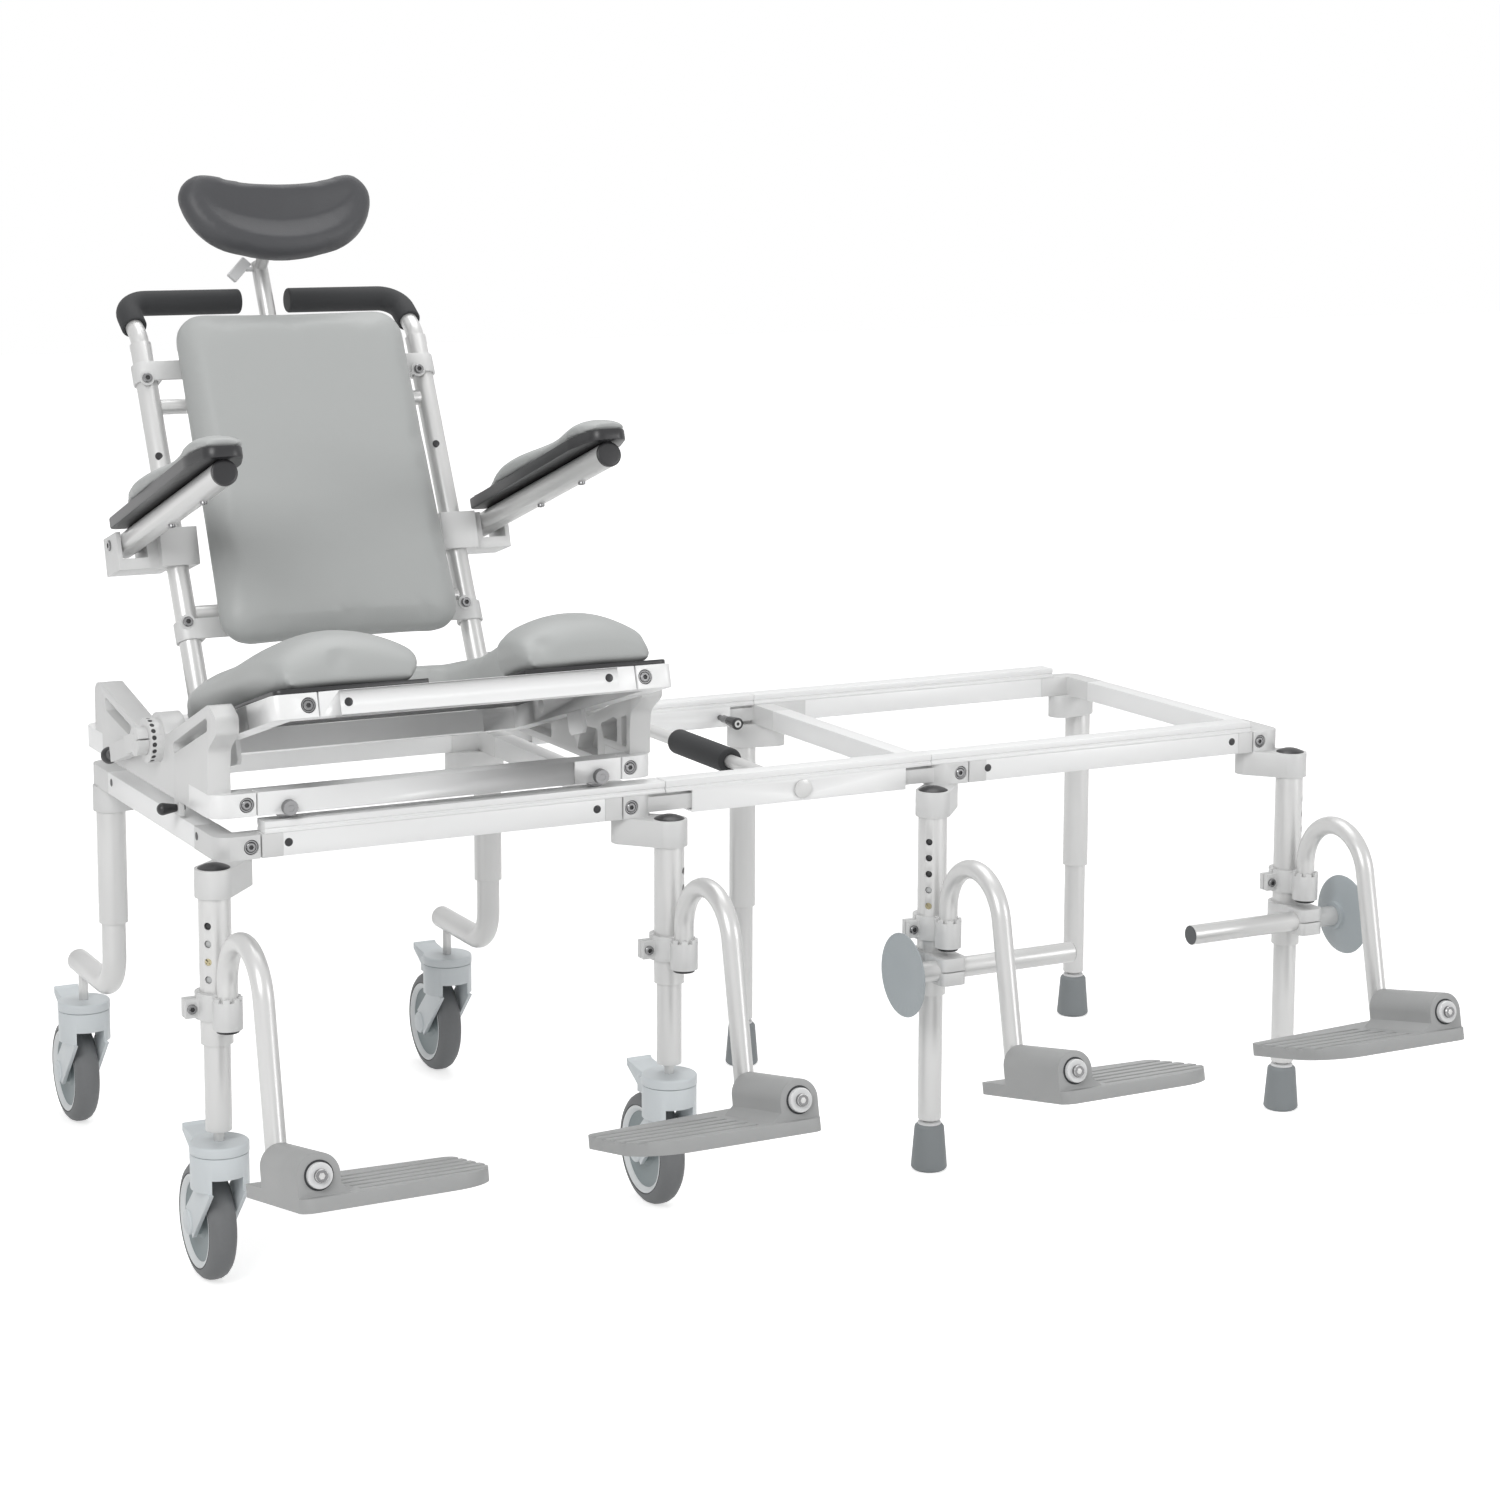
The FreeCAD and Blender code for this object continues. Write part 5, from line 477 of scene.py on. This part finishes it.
socket = knurls.solid("GeometryNodeMeshCylinder", height, Vertices=6, Radius=radius * 0.5,
                      Depth=height * 0.8)
knurls.grow(knurls.joined("DIFFERENCE", cut_bar.outputs[0], socket))

steel = Finish("screw_steel", (0.25, 0.25, 0.255), 0.24, 1.0).grained(0.001, 0.00001)
brass = Finish("dull_brass", (0.47, 0.42, 0.27), 0.35, 0.7).grained(0.001, 0.00002)
# socket_shadow is painted shade, laid as dark discs and rings in sockets, pockets and holes.
socket_painted_shade = Finish("socket_shadow", (0.045, 0.045, 0.047), 0.5).grained(0.001, 0.00002)
black = Finish("black_plastic", (0.02, 0.02, 0.022), 0.35).grained(0.001, 0.00003)
no_bore = 0.0001


def bolted(name, places, body, slot, radius, height):
    """Steel socket screws with a disc of painted shade at the floor of each socket."""
    scattered(name, screws, places, steel, body, slot, Radius=radius, Height=height)
    shade_places = [(place + way * (height * 0.36), way) for place, way in places]
    scattered(name + "_sockets", rings, shade_places, socket_painted_shade, body, slot, Radius=radius * 0.44,
              Bore=no_bore, Height=0.0002)


pockets = {}
for body, pocket_x, z in (("chair_base", (47.0, 488.5), 459.3),
                          ("tub_base", (917.0, 1351.0), 459.3),
                          ("carriage", (43.0, 487.0), 504.7)):
    pockets[body] = [(spot(x, y, z), way) for x in pocket_x for y, way in cast_faces]
pockets["seat"] = [(on_seat(x, v, -4.1), lean(way, 0.0)) for x in (73.0, 452.0)
                   for v, way in ((-300.0, -1), (104.7, 1))]
shade_disc_height = 0.0004
for body, places in pockets.items():
    slot = "cast_white" if body != "seat" else "anodised_rail"
    bolted(body + "_pocket_screws", places, body, slot, 0.0053, 0.0026)
    # A dark disc of painted shade lies at the floor of each pocket, round the washer.
    scattered(body + "_pocket_floor_shade", rings, places, socket_painted_shade, body, slot, Radius=0.0081,
              Bore=no_bore, Height=shade_disc_height)
    raised = [(place + way * shade_disc_height, way) for place, way in places]
    scattered(body + "_pocket_washers", rings, raised, steel, body, slot, Radius=0.0071,
              Bore=0.0059, Height=0.0010)
clamp_ear, ear_half = 29.0, 7.5
for clamps, base, z in (("chair_footrest_clamps", "chair", 301.0),
                        ("tub_leg_clamps", "tub", 285.0)):
    places = [(spot(x - clamp_ear, y, z), way) for x in leg_x[base]
              for y, way in ((-ear_half, front), (ear_half, behind))]
    bolted(clamps + "_bolts", places, body_of[clamps], slot_of[clamps], 0.0052, 0.0030)
rail_front, rail_end, seat_front, dot_height = 17.0, 9.0, -303.0, 338.0
seat_dots = [on_seat(116.0, seat_front, -4.0), on_seat(409.5, seat_front, -2.0)]
seat_dots += [on_seat(x, post_line(dot_height) - 12.6, dot_height) for x in (84.0, 427.0)]
cover_dots = {
    "chair_base": [(spot(88.0, rail_front, 461.0), front), (spot(446.0, rail_front, 461.5), front),
                   (spot(rail_end, 398.0, 462.0), to_left), (spot(rail_end, 84.0, 462.0), to_left)],
    "tub_base": [(spot(954.5, rail_front, 462.0), front), (spot(1308.0, rail_front, 462.5), front)],
    "seat": [(place, lean(-1, 0)) for place in seat_dots]}
for body, places in cover_dots.items():
    scattered(body + "_cover_dots", dots, places, black, body, "black_cap", Radius=0.0046,
              Rise=0.0008)

top_hole, hole_step, plug_reach = 388.0, 19.0, 0.0142
grey_plug = Finish("grey_plug", (0.52, 0.53, 0.53), 0.4).grained(0.001, 0.00002)
fills = {"chair": (black, grey_plug, brass, grey_plug),
         "tub": (black, black, black, grey_plug, brass)}
for base, row in fills.items():
    for number, finish in enumerate(row):
        places = []
        for x, side in zip(leg_x[base], (to_left, to_right)):
            way = (side + front).normalized()
            places.append((spot(x, 0.0, top_hole - number * hole_step) + way * plug_reach, way))
        growth = buttons if finish is brass else dots
        sizes = {"Height": 0.0022} if finish is brass else {"Rise": 0.0012}
        hole = "%s_leg_hole_%d" % (base, number + 1)
        scattered(hole, growth, places, finish, base + "_base", "black_cap", Radius=0.0039, **sizes)
        # A dark ring of painted shade fills the gap round each plug.
        scattered(hole + "_rim", rings, places, socket_painted_shade, base + "_base", "black_cap",
                  Radius=0.0046, Bore=0.0038, Height=0.0007)

# The index ring has twenty holes, shown as discs of painted shade at their floors. The three that
# the plunger can reach get no disc.
ring_holes, ring_pitch, ring_radius = [], 18.0, 0.0236
for number in range(2, 19):
    angle = math.radians(ring_pitch * number - tilt)
    way = Vector((0.0, math.cos(angle), math.sin(angle)))
    ring_holes.append((spot(-6.5, hinge_y, hinge_z) + way * ring_radius, way))
scattered("index_ring_hole_shade", rings, ring_holes, socket_painted_shade, "carriage", "cast_white",
          Radius=0.00255, Bore=no_bore, Height=0.0003)

# Round tubes.
# The legs, the hooked footrest hangers, the posts of the back and headrest and the arms are
# drawn aluminium tube with a smooth satin skin.
tube = Finish("satin_tube", (0.67, 0.67, 0.665), 0.30, 0.3)
drawn = tube.noise(0.002)
tube.rough(0.28 + drawn * 0.10)
tube.tint(tube.noise(0.06), (0.70, 0.70, 0.695))
tube.relief(drawn, 0.00001)
for node in ("chair_leg_tubes", "chair_inner_legs", "tub_leg_tubes", "tub_inner_legs", "back_posts",
             "headrest_post", "hanger_chair_left", "hanger_chair_right", "hanger_tub_left",
             "hanger_tub_right", "arm_tube_left", "arm_tube_right"):
    machined(node, tube, 0.0006)

# Clips of the back cushion.
# Each is a pressed strap round the back post with a flat ear in front, and a socket screw
# through the ear draws it tight.
clip_screws = []
for x, w in ((84.0, 433.0), (421.0, 433.0), (84.0, 139.0), (424.0, 139.0)):
    clip_screws.append((on_seat(x, post_line(w) - 15.4, w), lean(-1, 0)))
scattered("clip_washers", rings, clip_screws, casting, "seat", "cast_white", Radius=0.0086,
          Bore=0.002, Height=0.0016)
bolted("clip_screws", [(place + way * 0.0015, way) for place, way in clip_screws], "seat",
       "chrome_steel", 0.0058, 0.0034)

# Wall stabilisers.
# A cross tube with a flush dark plug and, at its outer end, a dished blue-grey pad on a boss
# that is pressed against the wall of the bath.
pad_grey = Finish("wall_pad_grey", (0.42, 0.46, 0.48), 0.45)
mottle = pad_grey.noise(0.0015, 3.0)
pad_grey.rough(0.40 + mottle * 0.12)
pad_grey.relief(mottle, 0.00003)
plug_grey = Finish("tube_plug", (0.09, 0.095, 0.10), 0.5).grained(0.001, 0.00003)


def turned(profile, place, forward, steps=56):
    """A body of revolution about forward from (along, radius) points in millimetres."""
    bm = bmesh.new()
    spin = forward.to_track_quat("X", "Z")
    rows = [[bm.verts.new(place + spin @ Vector((a, r * math.cos(t), r * math.sin(t))) / 1000)
             for a, r in profile] for t in (2 * math.pi * k / steps for k in range(steps))]
    for k, row in enumerate(rows):
        beside = rows[(k + 1) % steps]
        for i in range(len(profile)):
            j = (i + 1) % len(profile)
            bm.faces.new((row[i], row[j], beside[j], beside[i]))
    bmesh.ops.remove_doubles(bm, verts=bm.verts, dist=1e-7)
    bmesh.ops.recalc_face_normals(bm, faces=bm.faces)
    mesh = bpy.data.meshes.new("turned")
    bm.to_mesh(mesh)
    bm.free()
    return mesh


plug = [(-0.2, 0.0), (-0.2, 11.6), (0.4, 11.6), (0.8, 11.0), (0.8, 0.0)]
for side, x, way in (("left", 1040.0, to_right), ("right", 1213.5, to_left)):
    node = "stabiliser_" + side
    shown(node + "_plug", turned(plug, spot(x, -37.0, 241.5), way, 40), plug_grey, node,
          30.0)
    machined(node, tube, 0.0005, lambda low, high: high.x - low.x > 0.1, node + "_tube")
    machined(node, pad_grey, 0.0012, lambda low, high: high.z - low.z > 0.05, node + "_wall_pad")

# Bridge handle and latches.
# A round bar across the bridge with a black foam grip to lift it by, and two sprung latch pins
# with black knobs.
foam = Finish("black_foam", (0.030, 0.031, 0.033), 0.75).grained(0.0016, 0.00012, 3.0)
grip_limit, shank_limit = 0.3, 0.0115
machined("bridge_handle", tube, 0.0008, lambda low, high: high.y - low.y > grip_limit, "bridge_bar")
machined("bridge_handle", foam, 0.002, lambda low, high: high.y - low.y < grip_limit, "bridge_foam")
for end in ("chair_end", "tub_end"):
    node = "latch_pin_" + end
    machined(node, steel, 0.0004, lambda low, high: high.x - low.x < shank_limit, node + "_shank")
    machined(node, black, 0.0012, lambda low, high: high.x - low.x > shank_limit, node + "_knob")
    low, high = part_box(node)
    knob_end = (low + high) / 2
    knob_end.y = low.y
    scattered(node + "_knob_ring", rings, [(knob_end - front * 0.0002, front)], casting,
              body_of[node], "knob_black", Radius=0.0046, Bore=0.0022, Height=0.0006)

# Casters.
# Blue-grey nylon housings with a brake pedal behind, over wheels with a soft grey tread on a
# pale rim and a darker hub disc.
nylon = Finish("caster_nylon", (0.66, 0.70, 0.72), 0.42)
pores = nylon.noise(0.001)
nylon.rough(0.38 + pores * 0.1)
nylon.tint(nylon.noise(0.03), (0.69, 0.73, 0.75))
nylon.relief(pores, 0.00002)
tread = Finish("grey_tread", (0.165, 0.17, 0.175), 0.6)
scuff = tread.noise(0.004, 4.0)
tread.rough(0.52 + scuff * 0.2)
tread.tint(scuff, (0.19, 0.195, 0.20))
tread.relief(scuff, 0.00006)
hub_grey = Finish("hub_grey", (0.28, 0.32, 0.33), 0.5).grained(0.001, 0.00002)
# groove_shadow is painted shade for narrow grooves and recesses.
groove_painted_shade = Finish("groove_shadow", (0.04, 0.042, 0.045), 0.7).grained(0.001, 0.00002)
rim_white = Finish("rim_white", (0.80, 0.82, 0.83), 0.4).grained(0.001, 0.00002)
stems = {"front_left": (0.0, 0.0), "front_right": (526.5, 0.0), "rear_left": (26.5, 600.0),
         "rear_right": (503.5, 600.0)}
trail, axle_height = 44.0, 54.5
tyre_half = [(0.0, 64.0), (5.0, 63.6), (9.5, 61.6), (13.0, 57.8), (14.6, 54.0), (15.0, 50.5)]
outline = ([(-a, r) for a, r in reversed(tyre_half[1:])] + tyre_half
           + [(12.5, 49.0), (-12.5, 49.0)])
rim = [(3.0, 50.4), (14.2, 50.4), (14.9, 49.6), (14.9, 47.8), (14.2, 47.0), (11.0, 43.5),
       (3.0, 43.0)]
line = [(13.0, 50.9), (15.2, 50.9), (15.2, 50.2), (13.0, 50.2)]
hub = [(0.2, 43.4), (10.6, 43.4), (9.8, 42.6), (7.0, 34.0), (7.4, 20.0), (10.5, 15.0),
       (16.0, 14.0), (16.4, 13.2), (16.4, 5.1), (0.2, 5.1)]
cover = [(20.0, 0.0), (20.0, 13.6), (22.2, 13.6), (23.4, 12.6), (24.0, 10.0), (24.4, 0.0)]
for corner, (x, y) in stems.items():
    machined("caster_fork_" + corner, nylon, 0.0014)
    machined("brake_pedal_" + corner, nylon, 0.001)
    axle = spot(x, y + trail, axle_height)
    wheel, slot = "wheel_" + corner, "caster_tyre"
    tyre = shown("tyre_" + corner, turned(outline, axle, to_right, 72), tread, wheel, 40.0)
    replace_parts(tyre, "caster_wheel_" + corner)
    for side, way in (("outer", to_left), ("inner", to_right)):
        name = "%s_%s" % (corner, side)
        shown("rim_" + name, turned(rim, axle, way), rim_white, wheel, 30.0)
        # A thin dark ring of painted shade lies in the groove where the tyre meets the rim.
        shown("rim_groove_shade_" + name, turned(line, axle, way), groove_painted_shade, wheel, 30.0)
        shown("hub_" + name, turned(hub, axle, way), hub_grey, wheel, 30.0)
        shown("axle_cover_" + name, turned(cover, axle, way, 40), nylon, "fork_" + corner,
              30.0)

# Footplates.
# Grey moulded plates with grooves along the tread, hinged on a barrel at the hanger's foot. A
# white washer and a socket screw close the front end of the barrel.
plate = Finish("footplate_grey", (0.37, 0.375, 0.375), 0.5)
skin = plate.noise(0.0012, 3.0)
plate.rough(0.42 + skin * 0.16)
plate.tint(plate.noise(0.03), (0.40, 0.405, 0.405))
plate.relief(skin, 0.00005)
slope = math.radians(11.5)
forward = Vector((0.0, -math.cos(slope), math.sin(slope)))
hook_radius, hook_top, hinge_height = 58.0, 387.0, 183.0
reach = hook_radius * (1 + math.cos(slope))
fall = hook_top - hook_radius * (1 - math.sin(slope)) - hinge_height
barrel_end, barrel_recess = 0.1236, 0.1231
washer = [(-0.2, 0.0), (-0.2, 12.8), (4.4, 12.8), (5.2, 12.0), (5.2, 0.0)]
well = [(-0.4, 12.6), (0.4, 12.6), (0.4, 15.0), (-0.4, 15.0)]
white = Finish("white_moulding", (0.78, 0.785, 0.79), 0.35).grained(0.0015, 0.00001)
for base, drop in (("chair", 0.0), ("tub", 16.0)):
    for side, x in zip(("left", "right"), leg_x[base]):
        hanger, footplate = "hanger_%s_%s" % (base, side), "footplate_%s_%s" % (base, side)
        machined(footplate, plate, 0.0012)
        pivot = spot(x, -37.0 - reach - fall * math.tan(slope), hinge_height - drop)
        # A dark ring of painted shade round the washer, in the recess at the front end of the
        # barrel.
        shown(hanger + "_well_shade", turned(well, pivot + forward * barrel_recess, forward, 40),
              groove_painted_shade, footplate, 30.0)
        front_end = pivot + forward * barrel_end
        shown(hanger + "_washer", turned(washer, front_end, forward, 40), white, hanger,
              30.0)
        bolted(hanger + "_pivot_screw", [(front_end + forward * 0.0050, forward)], hanger,
               "leg_tube", 0.0069, 0.0045)

# Rubber feet, caps and knobs.
# Tapered grey rubber tips and white flanges under the tub legs, domed black caps on the legs,
# small black knobs at the two locks, and the black board under the seat cushion.
rubber = Finish("foot_rubber", (0.26, 0.28, 0.29), 0.6).grained(0.0015, 0.00005, 3.0)
machined("tub_feet", rubber, 0.001)
flange = [(-0.3, 8.3), (-0.3, 13.8), (1.6, 13.8), (2.4, 12.8), (2.4, 8.3)]
tub_legs = [(x, 0.0) for x in leg_x["tub"]] + [(870.0, 480.0), (1390.0, 480.0)]
for number, (x, y) in enumerate(tub_legs):
    shown("foot_flange_%d" % (number + 1), turned(flange, spot(x, y, 46.3), up, 40), white,
          "tub_legs", 30.0)
for node in ("chair_leg_caps", "tub_leg_caps", "carriage_lock_knob", "tilt_plunger", "seat_pan"):
    machined(node, black, 0.0006)

# Carriage rollers.
# Four steel rollers inside the carriage rails run on the tracks. Each turns on a steel bolt,
# whose knurled head stands proud of the rail.
machined("carriage_rollers", steel, 0.0004)
heads = [(spot(x, y, 499.0), way) for x in (88.3, 449.0)
         for y, way in ((rail_front, front), (486.4, behind))]
scattered("roller_bolt_knurls", knurls, heads, steel, "carriage", "chrome_steel",
          Radius=0.0084, Height=0.0082)

# Cushions.
# Soft foam under a fine-grained grey vinyl skin, sewn so that its faces crown and its corners
# stay soft.
vinyl = Finish("cushion_vinyl", (0.45, 0.463, 0.458), 0.46)
vinyl.relief(vinyl.pebbles(0.0012), 0.00008)


def cushion(name, node, finish, swell, keep=None, voxel=0.005, shape=None):
    """A stuffed pad: the CAD form drawn in a little, then blown up as cloth and kept in bounds."""
    mesh = plain(merged(node, keep))
    mesh = worked(mesh, "REMESH", mode="VOXEL", voxel_size=voxel)
    mesh = worked(mesh, "SMOOTH", factor=0.5, iterations=3)
    if shape:
        for vert in mesh.vertices:
            vert.co = shape(vert.co.copy())
    start = [vert.co.copy() for vert in mesh.vertices]
    middle = sum(start, Vector()) / len(start)
    for vert in mesh.vertices:
        vert.co = vert.co.lerp(middle, 0.02)
    piece = bpy.data.objects.new("stuffing", mesh)
    bpy.context.scene.collection.objects.link(piece)
    step = piece.modifiers.new("cloth", "CLOTH")
    step.settings.use_pressure = True
    step.settings.uniform_pressure_force = 4.0
    step.settings.effector_weights.gravity = 0.0
    step.point_cache.frame_start, step.point_cache.frame_end = 1, 20
    for tick in range(step.point_cache.frame_start, step.point_cache.frame_end + 1):
        bpy.context.scene.frame_set(tick)
    mesh = evaluated(piece)
    bpy.data.objects.remove(piece)
    bpy.context.scene.frame_set(1)
    for vert, rest in zip(mesh.vertices, start):
        move = vert.co - rest
        if move.length > swell:
            vert.co = rest + move.normalized() * swell
    mesh = worked(mesh, "SMOOTH", factor=0.5, iterations=2)
    mesh = worked(mesh, "SUBSURF", levels=1)
    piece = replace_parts(shown(name, mesh, finish, body_of[node], 80.0), node)


seat_middle = 260.0


def in_seat(place):
    """The tilted seat's own millimetres of a place: x, v and w."""
    away = (place - on_seat(0.0, 0.0, 0.0)) * 1000
    return away.x, away.dot(lean(1.0, 0.0)), away.dot(lean(0.0, 1.0))


def hump(distance, width):
    """Falls smoothly from 1 at no distance to 0 at the width."""
    share = max(0.0, 1.0 - abs(distance) / width)
    return share * share * (3.0 - 2.0 * share)


def lifted(place):
    """Fills out the saddle and the flanks and sinks a crease at the inner foot of each lobe."""
    x, v, w = in_seat(place)
    raised = min(1.0, max(0.0, (w - 20.0) / 15.0))
    saddle = 16.0 * hump(v - 25.0, 90.0) * hump(x - seat_middle, 190.0)
    flank = 14.0 * hump(x - 75.0, 75.0) * hump(v, 190.0)
    w += raised * (saddle + flank)
    x += raised * (9.0 * hump(x - 195.0, 75.0) * hump(v + 230.0, 130.0)
                   - 9.0 * hump(x - 40.0, 60.0) * hump(v + 90.0, 230.0)
                   - 6.0 * hump(x - 480.0, 70.0))
    v += sum(5.0 * hump(x - at, 16.0) * hump(w - 38.0, 16.0) * hump(v + 296.0, 30.0)
             for at in (110.0, 345.0))
    return on_seat(x, v, w)


cushion("seat_cushion", "seat_pad", vinyl, 0.004, shape=lifted)
cushion("back_cushion_skin", "back_cushion", vinyl, 0.006)

# Headrest.
# A kidney of dark foam under vinyl, screwed to the end of its neck. Its face is dished inside a
# rounded rim, whose points are written in units of pad_scale about the middle of the pad.
headrest_skin = Finish("headrest_skin", (0.055, 0.056, 0.061), 0.48)
headrest_skin.relief(headrest_skin.pebbles(0.0012), 0.00006)
rim_points = [(0.0, 0.165), (0.3, 0.185), (0.55, 0.235), (0.8, 0.28), (0.91, 0.245), (0.97, 0.15),
              (1.0, 0.0), (0.96, -0.17), (0.86, -0.31), (0.68, -0.45), (0.45, -0.54),
              (0.22, -0.59), (0.0, -0.61)]
rim_points += [(-a, b) for a, b in reversed(rim_points[1:-1])]
shares = 6
rim_points = [(a + (c - a) * k / shares, b + (d - b) * k / shares)
              for (a, b), (c, d) in zip(rim_points, rim_points[1:] + rim_points[:1])
              for k in range(shares)]
pad_v, pad_w, pad_scale, tip = 166.0, 635.0, 120.0, math.radians(8.0)


def dished(place):
    """Sinks the face of the headrest inside its rim."""
    x, v, w = in_seat(place)
    y, z = v - pad_v, w - pad_w
    deep, high = y * math.cos(tip) - z * math.sin(tip), y * math.sin(tip) + z * math.cos(tip)
    a, b = (x - seat_middle) / pad_scale, high / pad_scale
    inside = min(math.hypot(a - c, b - d) for c, d in rim_points)
    sunk = 1.0 - hump(max(0.0, inside - 0.07), 0.42)
    deep += 13.0 * sunk * min(1.0, max(0.0, (-deep - 14.0) / 14.0))
    return on_seat(x, pad_v + deep * math.cos(tip) + high * math.sin(tip),
                   pad_w - deep * math.sin(tip) + high * math.cos(tip))


cushion("headrest_skin_pad", "headrest_pad", headrest_skin, 0.0015, voxel=0.004, shape=dished)

# Armrests.
# A crowned grey pad on a black tray over each arm tube, held by two screws from below. The tube
# turns on a screw through the cheeks of its mount and ends in a black cap.
arm_pivot, arm_tip = on_seat(seat_middle, 155.0, 239.0), on_seat(seat_middle, -217.0, 253.0)
arm_way, arm_offset, tray_height = (arm_tip - arm_pivot).normalized(), 0.221, 0.004
cap = [(-0.5, 13.2), (-0.5, 14.2), (3.0, 14.2), (3.6, 13.4), (3.8, 11.0), (3.8, 0.0), (-0.5, 0.0)]
for side, out in (("left", to_left), ("right", to_right)):
    node, arm = "arm_pad_" + side, "arm_" + side
    tray_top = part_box(node)[0].z + tray_height
    machined(node, black, 0.002, lambda low, high: low.z < tray_top, node + "_tray")
    cushion(node + "_cushion", node, vinyl, 0.002, lambda low, high: low.z > tray_top, 0.004)
    offset = out * arm_offset
    shown("arm_end_cap_" + side, turned(cap, arm_tip + offset, arm_way, 40), black, arm,
          40.0)
    under = [arm_pivot.lerp(arm_tip, share) + offset + lean(0, -1) * 0.0136
             for share in (0.47, 0.79)]
    bolted("arm_tube_screws_" + side, [(place, lean(0, -1)) for place in under], arm, "leg_tube",
           0.0042, 0.0032)
    cheek = arm_pivot + offset + out * 0.0206
    bolted("arm_pivot_screw_" + side, [(cheek, out)], "seat", "cast_white", 0.0062, 0.0022)

# Grips and lever.
# Black foam sleeves are pushed onto the two push handles of the back, and a white moulded lever
# clamps the post of the headrest.
machined("push_grips", foam, 0.003)
machined("headrest_lever", white, 0.001)
